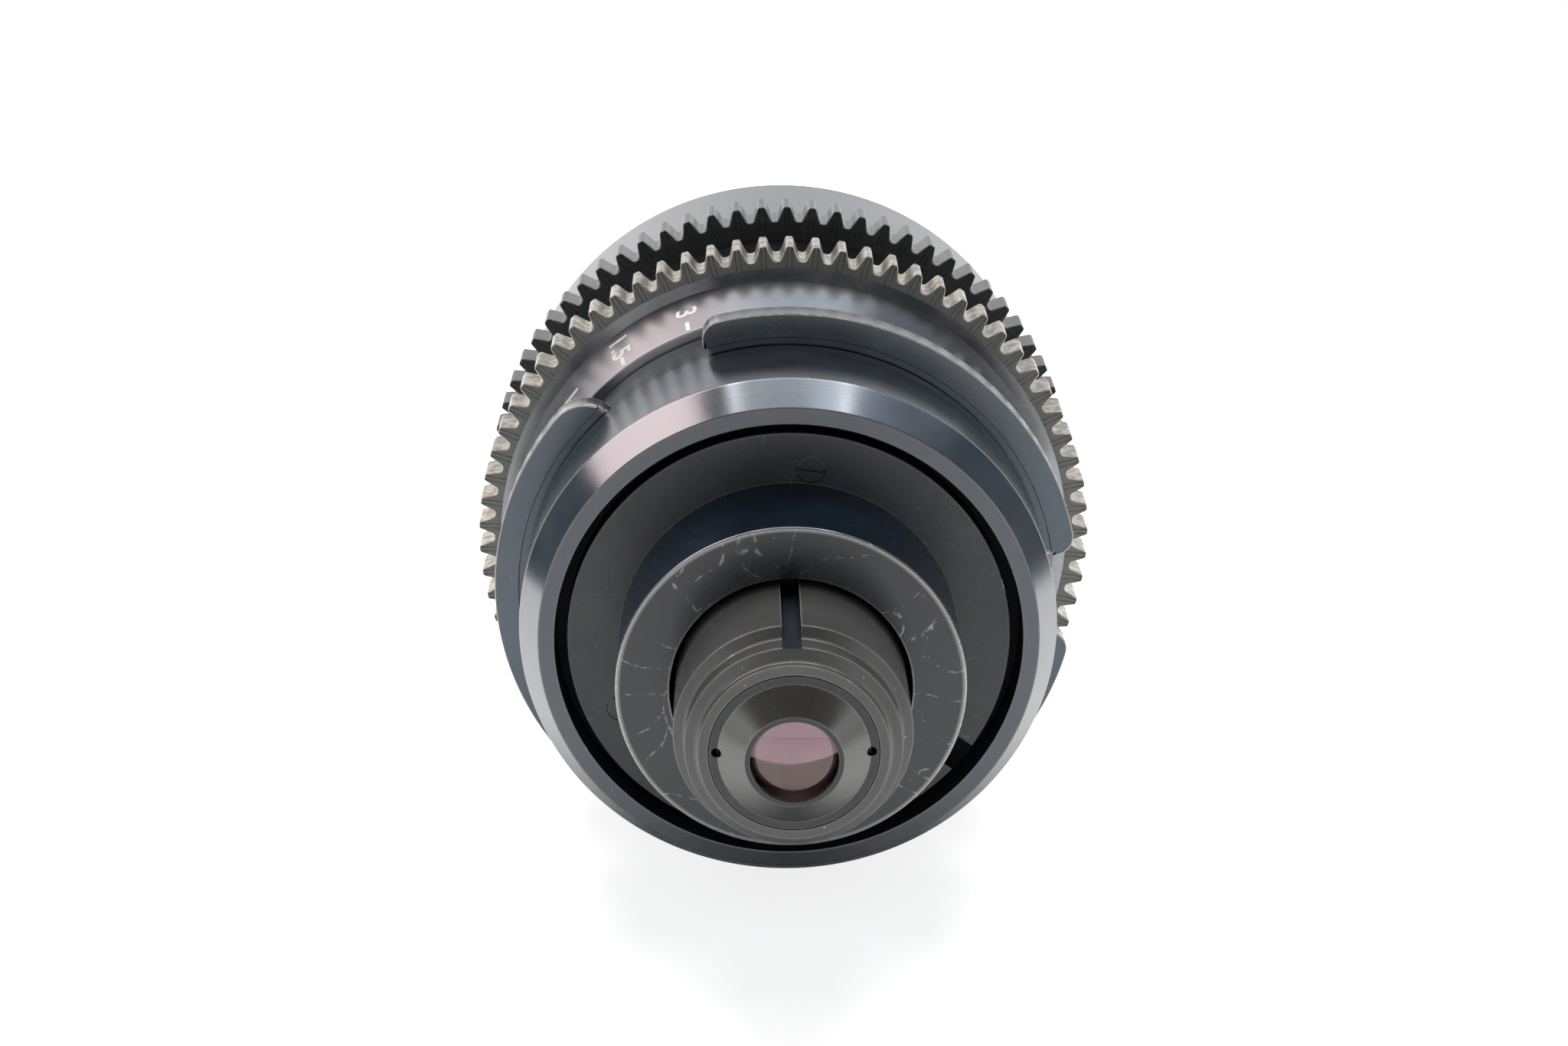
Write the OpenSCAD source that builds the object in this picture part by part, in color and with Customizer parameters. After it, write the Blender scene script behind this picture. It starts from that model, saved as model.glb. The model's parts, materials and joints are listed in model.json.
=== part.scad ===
// Prime lens for a cinema camera, lying with its optical axis along Y.
// The origin is on the axis at the flange seat. The camera side is -Y, the scene side is +Y, up is +Z.

/* [Bayonet mount] */
// Outer diameter of the spigot that enters the camera
spigot_d = 49.5; // [49:0.1:50]
// Length of the spigot from the flange seat to its end face
spigot_l = 12; // [11.6:0.1:12.6]
// Axial length of the lead-in taper at the end of the spigot
taper_l = 2.85; // [2.5:0.05:3.2]
// Diameter lost over the lead-in taper
taper_d = 3.8; // [3.4:0.1:4]
// Width of the flat ring at the end of the spigot
face_w = 1.55; // [1.3:0.05:1.7]
// Outer diameter of the three wings
wing_d = 55.5; // [54.8:0.1:56.2]
// Thickness of the wings
wing_t = 2.3; // [2:0.1:2.7]
// Angle of the wide gap between two wings, counted from the right as the camera sees it
wing_gap_a = 119.6; // [100:0.1:130]
// Opening angle of the wide gap
wing_gap_wide = 24.8; // [20:0.2:28]
// Opening angle of the two narrow gaps
wing_gap_narrow = 18.6; // [14:0.2:24]
// Corner radius of a wing
wing_corner = 1.8; // [1:0.1:2.2]
// Corner radius of the wing end that the locking ring meets first
wing_lead = 3.4; // [2:0.1:3.8]
// Depth of the relief cut in the seat face, where the wings meet the spigot
relief_depth = 0.3; // [0.2:0.05:0.4]
// Step on the radius from the spigot down to the neck in front of the flange seat
neck_step = 0.3; // [0.2:0.05:0.4]
// Length of the mount in front of the flange seat
neck_l = 7; // [6.6:0.1:7.4]
// Thickness of the shim that sets the flange distance
shim_t = 0.3; // [0.2:0.05:0.5]
// Number of screws that hold the mount to the barrel
mount_screw_n = 4; // [3:1:4]
// Thread diameter of the mount screws
mount_screw_d = 2; // [1.8:0.1:2]

/* [Rear sleeve] */
// Width of the dark groove between the spigot and the sleeve's flange
groove_w = 1.05; // [0.9:0.05:1.2]
// Depth of the flange face below the end of the spigot
flange_drop = 0.97; // [0.7:0.05:1.2]
// Thickness of the sleeve's flange
flange_t = 2.5; // [2.3:0.1:2.8]
// Outer diameter of the sleeve's snout
snout_d = 30.9; // [30.4:0.1:31.2]
// Length of the snout from the flange face to its end disc
snout_l = 10.5; // [10:0.1:11]
// Wall thickness of the snout
snout_wall = 1.95; // [1.7:0.05:2.1]
// Thickness of the disc that closes the snout
disc_t = 2; // [1.8:0.1:2.4]
// Gap on the radius between the rear tube and the hole in the disc
disc_hole_gap = 0.45; // [0.35:0.05:0.7]
// Width of the spanner notch in the flange's rim
notch_w = 3; // [2.6:0.1:3.4]
// Wall left between the spanner notch and the screw beside it
notch_wall = 0.2; // [0.2:0.05:0.5]
// Angle of the spanner notch
notch_a = -36.3; // [-45:0.1:-30]
// Diameter of the flush slotted screws in the flange
sleeve_screw_d = 2.6; // [2.4:0.1:2.7]

/* [Rear tube] */
// Outer diameter of the sliding rear tube
rear_tube_d = 20.4; // [20.2:0.1:20.6]
// Distance from the flange seat to the rim of the rear tube
rear_reach = 33.6; // [33:0.1:34.2]
// Outer diameter of the flat rim
rim_d = 16.2; // [16:0.1:16.6]
// Length of the plain neck that ends in the rim
rim_l = 0.75; // [0.6:0.05:0.9]
// Diameter of the step between the rim's neck and the full tube
step_d = 18.4; // [18.2:0.1:18.6]
// Length of the step
step_l = 1.85; // [1.6:0.05:2.1]
// Axial rise of the sloped shoulder at either end of the step
shoulder_l = 0.43; // [0.3:0.01:0.5]
// Width of the keyway
keyway_w = 1.6; // [1.5:0.1:1.8]
// Depth of the keyway
keyway_depth = 1.1; // [1:0.05:1.2]
// Angle of the keyway
keyway_a = 91.4; // [88:0.1:94]
// Diameter of the bezel ring's thread
bezel_d = 14.3; // [14.2:0.1:14.5]
// Width of the flat on the bezel ring
bezel_flat_w = 0.75; // [0.7:0.05:0.85]
// Height of the bezel's cone above its flat
bezel_h = 1.6; // [1.4:0.05:1.8]
// Diameter of the bezel's lip
lip_d = 8.3; // [8.1:0.1:8.5]
// Width of the flat on the lip
lip_w = 0.45; // [0.35:0.05:0.5]
// Diameter of the two spanner holes
spanner_d = 0.85; // [0.8:0.05:0.9]

/* [Rings and gears] */
// Diameter of the barrel under the focus and iris rings
bearing_d = 46; // [45.8:0.1:46.2]
// Radial running clearance of the rings and of the lens carrier
run_fit = 0.05; // [0.03:0.01:0.08]
// Axial gap between neighbouring rings
ring_gap = 0.3; // [0.25:0.05:0.4]
// Rear diameter of the conical distance scale
scale_rear_d = 50.5; // [50.2:0.1:50.8]
// Front diameter of the conical distance scale
scale_front_d = 54.2; // [53.8:0.1:54.6]
// Length of the conical distance scale
scale_l = 5.5; // [5.4:0.1:5.8]
// Module of the drive gears
gear_module = 0.8; // [0.795:0.005:0.805]
// Number of teeth on a drive gear
gear_teeth = 74; // [73:1:75]
// Width of the focus gear
focus_gear_w = 3.55; // [3.4:0.05:3.8]
// Width of the iris gear
iris_gear_w = 3.4; // [3.2:0.05:3.6]
// Diameter of the seat that carries a gear
gear_seat_d = 52; // [51.8:0.1:52.2]
// Outer diameter of the fixed band and of the iris scale
band_d = 54; // [53.6:0.1:54.4]
// Length of the fixed band between the rings
band_l = 4; // [3.8:0.1:4.2]
// Length of the iris scale
iris_scale_l = 6.1; // [6:0.1:6.4]
// Turn of the focus ring from infinity to the nearest distance
focus_turn = 84; // [80:1:86]
// Forward travel of the optics over that turn
focus_travel = 2.4; // [2.2:0.05:2.4]
// Diameter of the cam followers
follower_d = 2.9; // [2.7:0.1:2.9]
// Turn of the iris ring from open to closed
iris_turn = 36; // [32:1:36]

/* [Front housing] */
// Outer diameter of the front housing
front_d = 56.8; // [56.4:0.1:57.2]
// Length of the front housing
front_l = 13.2; // [13:0.1:13.6]
// Diameter of the accessory thread in the front
front_thread_d = 49; // [48.6:0.1:49.4]
// Depth of the accessory thread
front_thread_l = 3; // [2.8:0.1:3.2]

/* [Lens carrier and optics] */
// Outer diameter of the lens carrier
carrier_d = 37; // [36.8:0.1:37.2]
// Wall thickness of the lens carrier
carrier_wall = 2; // [1.9:0.05:2.1]
// Diameter of the full iris opening
iris_open_d = 11.2; // [10.8:0.1:11.2]
// Thickness of an iris blade
blade_t = 0.15; // [0.12:0.01:0.16]
// Distance from one blade to the next along the axis
blade_pitch = 0.27; // [0.26:0.01:0.28]
// Diameter of the front element
front_glass_d = 29; // [28.6:0.1:29.4]

/* [Hidden] */
$fn = 96;

// Small allowance that lets two solids of one piece share a little depth
eps = 0.01;
// Length by which a cut runs past the faces that it opens
over = 1;
// Clearance of a screw or pin in its plain hole
hole_fit = 0.1;
// Radial clearance of a seated part
seat_fit = 0.03;
// Room past the tip of a screw or pin
tip_room = 0.2;
// Share of a screw's diameter taken by its socket, and the depth of the socket
socket_share = 0.45;
socket_depth = 0.8;
// Facets of a spherical face and of a pin
ball_fn = 240;
pin_fn = 32;

// Colours, as seen on the object
anodised = "#1d1f22";
matte_black = "#2a2c2e";
bare_metal = "#b9b4aa";
brass = "#8a7440";
steel = "#8d9094";
glass_tint = "#6a4a78";

// Radii of the mount
spigot_r = spigot_d / 2;
neck_r = spigot_r - neck_step;
face_r = spigot_r - taper_d / 2;
bore_r = face_r - face_w;
wing_r = wing_d / 2;
wing_step = 120;
relief_w = 0.7;
// Radii of the rear sleeve
flange_r = bore_r - groove_w;
snout_r = snout_d / 2;
snout_edge = 0.3;
cavity_r = snout_r - snout_wall;
hub_wall = 1.05;
hub_r = cavity_r + hub_wall;
hub_l = 3;
rear_tube_r = rear_tube_d / 2;
disc_hole_r = rear_tube_r + disc_hole_gap;
// The flush screws sit just outside the snout, one of them beside the spanner notch
screw_margin = 0.1;
sleeve_screw_r = snout_r + sleeve_screw_d / 2 + screw_margin;
sleeve_screw_l = 5.5;
sleeve_screw_head = 1.5;
sleeve_screw_sunk = 0.05;
sleeve_screw_n = 3;
sleeve_screw_step = 360 / sleeve_screw_n;
sleeve_screw_a = notch_a + sleeve_screw_step;
notch_r = sleeve_screw_r + sleeve_screw_d / 2 + notch_wall;

// Stations along the axis
y_end = -spigot_l;
y_taper = y_end + taper_l;
y_flange = y_end + flange_drop;
y_seat = y_flange + flange_t;
y_disc = y_flange - snout_l;
y_cavity = y_disc + disc_t;
y_barrel = neck_l + shim_t;
y_focus0 = y_barrel + ring_gap;
y_fgear = y_focus0 + scale_l;
y_focus1 = y_fgear + focus_gear_w;
y_band0 = y_focus1 + ring_gap;
y_band1 = y_band0 + band_l;
y_iris0 = y_band1 + ring_gap;
y_igear = y_iris0 + iris_scale_l;
y_iris1 = y_igear + iris_gear_w;
y_front0 = y_iris1 + ring_gap;
y_front1 = y_front0 + front_l;

// Screws that join mount, shim and barrel
mount_head_d = mount_screw_d * 1.9;
mount_head_h = mount_screw_d * 0.7;
mount_screw_shift = 0.3;
mount_screw_r = (hub_r + bore_r) / 2 + mount_screw_shift;
mount_screw_turn = 45;
mount_screw_a0 = sleeve_screw_a - mount_screw_turn;
mount_screw_step = 360 / mount_screw_n;
mount_grip = 4.5;
mount_thread_l = 2.6;
y_mount_head = neck_l - mount_grip;
shim_margin = 1;

// Main barrel
bearing_r = bearing_d / 2;
ring_bore_r = bearing_r + run_fit;
carrier_r = carrier_d / 2;
barrel_bore_r = carrier_r + run_fit;
barrel_floor_t = 3.2;
barrel_hole_gap = 2.8;
barrel_hole_r = rear_tube_r + barrel_hole_gap;
barrel_l_front = 7;
y_floor = y_barrel + barrel_floor_t;
y_barrel_end = y_front0 + barrel_l_front;
band_r = band_d / 2;

// Gears: the teeth are cut a little less deep than the full form
pressure_a = 20;
root_share = 0.9;
pitch_r = gear_module * gear_teeth / 2;
tip_r = pitch_r + gear_module;
root_r = pitch_r - root_share * gear_module;
gear_seat_r = gear_seat_d / 2;
gear_pitch_a = 360 / gear_teeth;
gear_phase = 1.8;
gear_screw_d = 1.6;
gear_screw_n = 3;
gear_screw_a0 = 270;
gear_screw_in = 0.6;
gear_screw_sunk = 0.5;

// Cam followers: each roller runs in a straight slot of the barrel and a cam groove of the focus ring
follower_r = follower_d / 2;
follower_n = 3;
follower_step = 360 / follower_n;
follower_a0 = 30;
follower_pin_d = 2;
follower_reach = 1.35;
slot_fit = 0.15;
slot_end = 0.1;
groove_fit = 0.12;
follower_in = carrier_r - carrier_wall + tip_room;
follower_out = ring_bore_r + follower_reach;
groove_out = follower_out + tip_room;
y_follower = y_floor + slot_fit + follower_r + slot_end;
y_groove = y_follower + focus_travel / 2;
// A groove in a tilted plane rises as the sine of the turn, within a few hundredths of a straight helix
groove_tilt = atan((focus_travel / 2) / (sin(focus_turn / 2) * (ring_bore_r + follower_out) / 2));
groove_end = asin((follower_r + groove_fit) / ring_bore_r);

// Stop pins between the fixed band and the rings
stop_pin_d = 1;
stop_pin_l = 1.1;
stop_pin_in = 1.5;
stop_r = (ring_bore_r + gear_seat_r) / 2;
stop_a = 250;
stop_play = 0.1;
stop_half = asin((stop_pin_d / 2 + stop_play) / stop_r);

// Front housing
front_r = front_d / 2;
front_thread_r = front_thread_d / 2;
front_lip_w = 1;
front_bore_r = bearing_r - front_lip_w;
housing_chamfer = 0.5;
housing_screw_d = 2;
housing_screw_n = 3;
housing_screw_step = 360 / housing_screw_n;
housing_screw_a0 = 270;
housing_screw_in = 1.2;
housing_screw_sunk = 0.4;
y_housing_screw = y_front0 + barrel_l_front / 2;
front_ring_t = 1.6;
front_ring_gap = 0.4;
front_ring_step = 0.8;
y_front_ring = y_front1 - front_thread_l - front_ring_t;

// Lens carrier
carrier_in_r = carrier_r - carrier_wall;
carrier_floor_t = 2.5;
carrier_gap = 0.4;
y_carrier = y_floor + carrier_gap;
y_carrier_floor = y_carrier + carrier_floor_t;
tube_thread_step = 1;
tube_thread_r = rear_tube_r - tube_thread_step;
shelf_w = 1.5;
shelf_r = carrier_in_r - shelf_w;
shelf_t = 1.5;

// Iris: seat plate, blades, cam ring, then the ring that holds them
iris_plate_t = 1.8;
iris_n = 6;
iris_step = 360 / iris_n;
iris_open_r = iris_open_d / 2;
blade_ratio = 0.75;
iris_pin_set = 2.2;
y_iris_pin = y_iris0 + iris_pin_set;
cam_t = 2;
y_cam0 = y_iris_pin - cam_t / 2;
blade_room = 1.9;
blade_lift = 0.15;
y_blade0 = y_cam0 - blade_room + blade_lift;
y_plate0 = y_cam0 - blade_room - iris_plate_t;
y_cam1 = y_cam0 + cam_t;
cam_gap = 0.2;
cam_edge = 0.2;
iris_ring_t = 1.5;
iris_ring_w = 3.5;
// Pivot circle of the blades and the arm that reaches the drive pin
pivot_rise = 3.6;
pivot_r = iris_open_r + pivot_rise;
pivot_floor = 0.4;
arm_l = 2.5;
arm_a = 75;
blade_pin_r = 0.45;
blade_pin_fit = 0.06;
blade_pin_short = 0.3;
blade_edge = 0.1;
blade_in = iris_open_r + blade_edge;
blade_rim = 0.8;
blade_out = pivot_r - blade_rim;
blade_span = 150;
blade_tail = 2;
blade_lobe = 1;
blade_root = 6;
iris_pin_d = 1.6;
iris_pin_deep = 2.5;
iris_pin_reach = 1.2;
iris_pin_in = carrier_in_r - iris_pin_deep;
iris_pin_out = ring_bore_r + iris_pin_reach;
iris_pin_a = 210;
iris_slot_play = 1;
iris_slot_half = asin((iris_pin_d / 2 + slot_fit) / carrier_r) + iris_slot_play;

// Front cell and its glass, stepped wider toward the front
cell_gap = 0.2;
y_cell0 = y_cam1 + cam_gap + iris_ring_t + cell_gap;
carrier_reach = 1.4;
y_carrier_end = y_barrel_end + carrier_reach;
cell_flange_t = 1.4;
cell_edge = 0.1;
cell_ledge = 1.3;
y_cell1 = y_carrier_end + cell_flange_t;
cell_lip_t = 0.8;
glass_step = 1.5;
front_glass_r = front_glass_d / 2;
middle_glass_r = front_glass_r - glass_step;
inner_glass_r = middle_glass_r - glass_step;
front_seat_depth = 4.8;
middle_seat_depth = 5.2;
y_front_seat = y_cell1 - front_seat_depth;
y_middle_seat = y_front_seat - middle_seat_depth;
y_inner_seat = y_cell0 + cell_lip_t;
cell_r = carrier_in_r - seat_fit;
inner_edge = 2.2;
inner_curve = 40;
middle_edge = 2.1;
middle_front_curve = 45;
middle_rear_curve = 60;
front_edge = 1.4;
front_curve = 40;
// Width of the rings that hold the glass, their drop below the next seat and their gap to the curved faces
holder_w = 1.2;
holder_drop = 0.3;
holder_gap = 0.5;

// Rear tube and its glass
rim_r = rim_d / 2;
step_r = step_d / 2;
bezel_r = bezel_d / 2;
y_rim = -rear_reach;
y_step0 = y_rim + rim_l;
y_step1 = y_step0 + shoulder_l + step_l;
tube_thread_l = 1.6;
y_tube_end = y_carrier_floor + tube_thread_l;
rear_wall = 1.95;
rear_ledge = 1;
rear_glass_r = rear_tube_r - rear_wall;
tunnel_r = rear_glass_r - rear_ledge;
y_rear_seat = 0;
rear_mid_t = 5;
rear_mid_curve = 26;
rear_spacer_t = 3;
rear_spacer_w = 0.9;
rear_spacer_gap = 0.02;
rear_inner_t = 3;
rear_inner_curve = 40;
rear_ring_t = 1.6;
last_glass_gap = 0.15;
last_ledge = 1.2;
last_seat_depth = 4.6;
last_drop = 0.1;
last_glass_r = bezel_r - last_glass_gap;
last_curve = 10;
last_throat_r = last_glass_r - last_ledge;
last_throat_t = 1.5;
last_throat_bevel = 1;
y_last_seat = y_rim + last_seat_depth;
y_last_vertex = y_rim - bezel_h + last_drop;
last_cone_gap = 0.4;
lip_r = lip_d / 2;
keyway_in = 8;
keyway_front = y_cavity + keyway_in;
spanner_a = 2;
spanner_span = 177;
spanner_inset = 0.1;
spanner_depth = 0.7;
lock_nut_w = 2.8;
lock_nut_r = tube_thread_r + lock_nut_w;
lock_nut_t = 1.4;
nut_slot_a = 45;
nut_slot_w = 1.6;
nut_slot_depth = 1.4;

// Guide key inside the snout, with a screw sized to the key and to the room round it
key_fit = 0.06;
key_gap = 0.15;
key_l = 4;
key_in = rear_tube_r - keyway_depth + key_gap;
key_out = cavity_r - key_gap;
key_room = key_out - rear_tube_r - key_gap;
key_screw_r = rear_tube_r + key_gap + key_room / 2;
key_screw_d = min(key_room * 0.4, keyway_w * 0.6);
key_screw_waist = key_screw_d * 0.8;
key_screw_head = key_room * 0.65;
key_screw_head_h = 0.8;
key_screw_grip = 1.4;

// Sagitta of a sphere of radius c at the height r
function sag(c, r) = c - sqrt(c * c - r * r);

// Half thickness of a gear tooth, as an angle, at the radius r
function tooth_half(r) = (PI * gear_module / 2 - 2 * (r - pitch_r) * tan(pressure_a)) / (2 * r) * 180 / PI;

// A point at the radius r and the angle a
function polar(r, a) = [r * cos(a), r * sin(a)];

// Place of a blade's drive pin when the iris ring has turned by t, seen in the fixed frame
function drive_pin(t) = [pivot_r, 0] + polar(arm_l, arm_a - blade_ratio * t);

// The same place seen from the cam ring, which has turned with the iris ring
function cam_point(t) = let (p = drive_pin(t)) polar(norm(p), atan2(p[1], p[0]) + t);

// Solid of revolution about the optical axis, from a list of [radius, station]
module turned(points) {
  rotate([-90, 0, 0])
    rotate_extrude()
      polygon(points);
}

// Plain ring about the optical axis
module ring(r_in, r_out, y0, y1) {
  turned([[r_in, y0], [r_out, y0], [r_out, y1], [r_in, y1]]);
}

// Solid disc about the optical axis
module disc(r, y0, y1) {
  translate([0, y0, 0])
    rotate([-90, 0, 0])
      cylinder(r = r, h = y1 - y0);
}

// Flat shape, drawn as seen from the camera side, given a thickness along the axis
module plate(y0, y1) {
  translate([0, y1, 0])
    rotate([90, 0, 0])
      linear_extrude(y1 - y0)
        children();
}

// Turns its children to an angle, counted from the right as the camera sees it
module at_angle(a) {
  rotate([0, -a, 0])
    children();
}

// Pin along the radius at angle a and station y
module radial_pin(r0, r1, d, a, y) {
  at_angle(a)
    translate([r0, y, 0])
      rotate([0, 90, 0])
        cylinder(d = d, h = r1 - r0, $fn = pin_fn);
}

// Pin along the axis at radius r and angle a
module axial_pin(r, d, a, y0, y1) {
  at_angle(a)
    translate([r, y0, 0])
      rotate([-90, 0, 0])
        cylinder(d = d, h = y1 - y0, $fn = pin_fn);
}

// Sector of a disc from angle a0 to a1, for cutting
module sector(r, a0, a1, y0, y1) {
  steps = 8;
  plate(y0, y1)
    polygon(concat([[0, 0]], [for (i = [0 : steps]) polar(r, a0 + (a1 - a0) * i / steps)]));
}

// Ring piece from angle a0 to a1
module ring_piece(r_in, r_out, a0, a1, y0, y1) {
  reach = 1.5;
  intersection() {
    ring(r_in, r_out, y0, y1);
    sector(r_out * reach, a0, a1, y0 - over, y1 + over);
  }
}

// Glass with spherical faces between the vertices y0 and y1: a positive curve bulges, a negative is hollow
module glass(r, y0, y1, rear_curve, front_curve_r) {
  y_low = rear_curve < 0 ? y0 - sag(-rear_curve, r) : y0;
  y_high = front_curve_r < 0 ? y1 + sag(-front_curve_r, r) : y1;
  difference() {
    intersection() {
      disc(r, y_low, y_high);
      face_body(rear_curve, y0 + rear_curve, r, y_low, y_high);
      face_body(front_curve_r, y1 - front_curve_r, r, y_low, y_high);
    }
    if (rear_curve < 0)
      ball(-rear_curve, y0 + rear_curve);
    if (front_curve_r < 0)
      ball(-front_curve_r, y1 - front_curve_r);
  }
}

// Body that a bulging face keeps, or a plain block for any other face
module face_body(curve, y_centre, r, y_low, y_high) {
  if (curve > 0)
    ball(curve, y_centre);
  else
    disc(r * 2, y_low - over, y_high + over);
}

// Sphere on the optical axis
module ball(r, y) {
  translate([0, y, 0])
    rotate([-90, 0, 0])
      sphere(r = r, $fn = ball_fn);
}

// Rounds one wing end: the cutter takes what lies outside a corner circle that touches the gap and the rim
module wing_end_cut(half, c) {
  v = sqrt(pow(wing_r - c, 2) - pow(half + c, 2));
  touch = [half + c, v] * (wing_r + 2 * over) / (wing_r - c);
  difference() {
    plate(-over, wing_t + over)
      polygon([[half - over, v], [half + c, v], touch, [half - over, wing_r + 3 * over]]);
    plate(-2 * over, wing_t + 2 * over)
      translate([half + c, v])
        circle(r = c);
  }
}

// Gap between two wings, with the corner radii of its two sides
module wing_gap(a, opening, c_right, c_left) {
  half = spigot_r * sin(opening / 2);
  at_angle(a - 90) {
    translate([-half, -over, neck_r - over])
      cube([2 * half, wing_t + 2 * over, wing_r - neck_r + 3 * over]);
    wing_end_cut(half, c_right);
    mirror([1, 0, 0])
      wing_end_cut(half, c_left);
  }
}

// Slotted screw that runs along the axis, with its head toward the camera
module slotted_screw(r, a, d, head_d, head_h, y_head, y_tip) {
  slot_w = head_d * 0.16;
  slot_depth = head_h * 0.4;
  difference() {
    union() {
      axial_pin(r, d, a, y_head, y_tip);
      axial_pin(r, head_d, a, y_head, y_head + head_h);
    }
    at_angle(a)
      translate([r - slot_w / 2, y_head - over, -head_d])
        cube([slot_w, over + slot_depth, 2 * head_d]);
  }
}

// Gear blank with straight-flanked teeth whose tips are broken
module gear(y0, y1) {
  tip_break = 0.18;
  tip_land = 0.72;
  tooth = [
    [-tooth_half(root_r), root_r],
    [-tooth_half(tip_r - tip_break), tip_r - tip_break],
    [-tooth_half(tip_r) * tip_land, tip_r],
    [tooth_half(tip_r) * tip_land, tip_r],
    [tooth_half(tip_r - tip_break), tip_r - tip_break],
    [tooth_half(root_r), root_r]
  ];
  difference() {
    plate(y0, y1)
      polygon([
        for (i = [0 : gear_teeth - 1])
          for (p = tooth)
            polar(p[1], gear_phase + i * gear_pitch_a + p[0])
      ]);
    disc(gear_seat_r + seat_fit, y0 - over, y1 + over);
    for (i = [0 : gear_screw_n - 1])
      radial_pin(gear_seat_r - over, tip_r + over, gear_screw_d + 2 * seat_fit,
        gear_screw_a(i), (y0 + y1) / 2);
  }
}

// Angle of a gear screw, set on the nearest tooth gap
function gear_screw_a(i) =
  let (a = gear_screw_a0 + i * 360 / gear_screw_n)
  gear_phase + (floor((a - gear_phase) / gear_pitch_a) + 1 / 2) * gear_pitch_a;

// Set screws that hold a gear on its ring
module gear_screws(y) {
  for (i = [0 : gear_screw_n - 1])
    difference() {
      radial_pin(gear_seat_r - gear_screw_in, root_r - gear_screw_sunk, gear_screw_d, gear_screw_a(i), y);
      radial_pin(root_r - gear_screw_sunk - socket_depth, root_r, gear_screw_d * socket_share,
        gear_screw_a(i), y);
    }
}

// Seats for the set screws in the ring under a gear
module gear_screw_seats(y) {
  for (i = [0 : gear_screw_n - 1])
    radial_pin(gear_seat_r - gear_screw_in - seat_fit, gear_seat_r + over, gear_screw_d + 2 * seat_fit,
      gear_screw_a(i), y);
}

// Spigot, wings and neck in one piece
module bayonet_mount() {
  color(anodised)
    difference() {
      union() {
        turned([
          [bore_r, y_end], [face_r, y_end], [spigot_r, y_taper], [spigot_r, 0], [neck_r, 0],
          [neck_r, neck_l], [hub_r + seat_fit, neck_l], [hub_r + seat_fit, y_seat], [bore_r, y_seat]
        ]);
        difference() {
          ring(neck_r - over, wing_r, 0, wing_t);
          ring(neck_r, spigot_r + relief_w, -over, relief_depth);
          wing_gap(wing_gap_a, wing_gap_wide, wing_corner, wing_lead);
          wing_gap(wing_gap_a + wing_step, wing_gap_narrow, wing_corner, wing_corner);
          wing_gap(wing_gap_a - wing_step, wing_gap_narrow, wing_corner, wing_corner);
        }
      }
      for (i = [0 : mount_screw_n - 1]) {
        a = mount_screw_a0 + i * mount_screw_step;
        axial_pin(mount_screw_r, mount_head_d + 2 * hole_fit, a, y_seat - over, y_mount_head);
        axial_pin(mount_screw_r, mount_screw_d + 2 * hole_fit, a, y_mount_head - over, neck_l + over);
      }
      for (i = [0 : sleeve_screw_n - 1])
        axial_pin(sleeve_screw_r, sleeve_screw_d + 2 * seat_fit, sleeve_screw_a + i * sleeve_screw_step,
          y_seat - over, y_flange + sleeve_screw_l + tip_room);
    }
}

// Thin ring between mount and barrel
module mount_shim() {
  color(brass)
    difference() {
      ring(hub_r + shim_margin, bearing_r, neck_l, y_barrel);
      for (i = [0 : mount_screw_n - 1])
        axial_pin(mount_screw_r, mount_screw_d + 2 * hole_fit, mount_screw_a0 + i * mount_screw_step,
          neck_l - over, y_barrel + over);
    }
}

// Screws from the mount into the barrel's floor
module mount_screws() {
  color(steel)
    for (i = [0 : mount_screw_n - 1])
      slotted_screw(mount_screw_r, mount_screw_a0 + i * mount_screw_step, mount_screw_d, mount_head_d,
        mount_head_h, y_mount_head - mount_head_h, y_barrel + mount_thread_l);
}

// Fixed sleeve that guides the rear tube: flange, snout and hub
module rear_sleeve() {
  color(matte_black)
    difference() {
      turned([
        [disc_hole_r, y_disc], [snout_r - snout_edge, y_disc], [snout_r, y_disc + snout_edge],
        [snout_r, y_flange],
        [flange_r, y_flange], [flange_r, y_seat], [hub_r, y_seat], [hub_r, y_seat + hub_l],
        [cavity_r, y_seat + hub_l], [cavity_r, y_cavity], [disc_hole_r, y_cavity]
      ]);
      at_angle(notch_a)
        translate([notch_r, y_flange - over, -notch_w / 2])
          cube([flange_r - notch_r + over, flange_t + 2 * over, notch_w]);
      for (i = [0 : sleeve_screw_n - 1])
        axial_pin(sleeve_screw_r, sleeve_screw_d + 2 * seat_fit, sleeve_screw_a + i * sleeve_screw_step,
          y_flange - over, y_seat + over);
      axial_pin(key_screw_r, key_screw_d + 2 * seat_fit, keyway_a,
        y_cavity - key_screw_grip, y_cavity + over);
    }
}

// Flush slotted screws that hold the sleeve in the mount
module sleeve_screws() {
  color(matte_black)
    for (i = [0 : sleeve_screw_n - 1])
      slotted_screw(sleeve_screw_r, sleeve_screw_a + i * sleeve_screw_step, sleeve_screw_d, sleeve_screw_d,
        sleeve_screw_head, y_flange + sleeve_screw_sunk, y_flange + sleeve_screw_l);
}

// Key that stops the rear tube from turning
module guide_key() {
  color(steel)
    difference() {
      at_angle(keyway_a)
        translate([key_in, y_cavity, -keyway_w / 2 + key_fit])
          cube([key_out - key_in, key_l, keyway_w - 2 * key_fit]);
      axial_pin(key_screw_r, key_screw_waist + 2 * seat_fit, keyway_a,
        y_cavity - over, y_cavity + key_l + over);
    }
}

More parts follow.
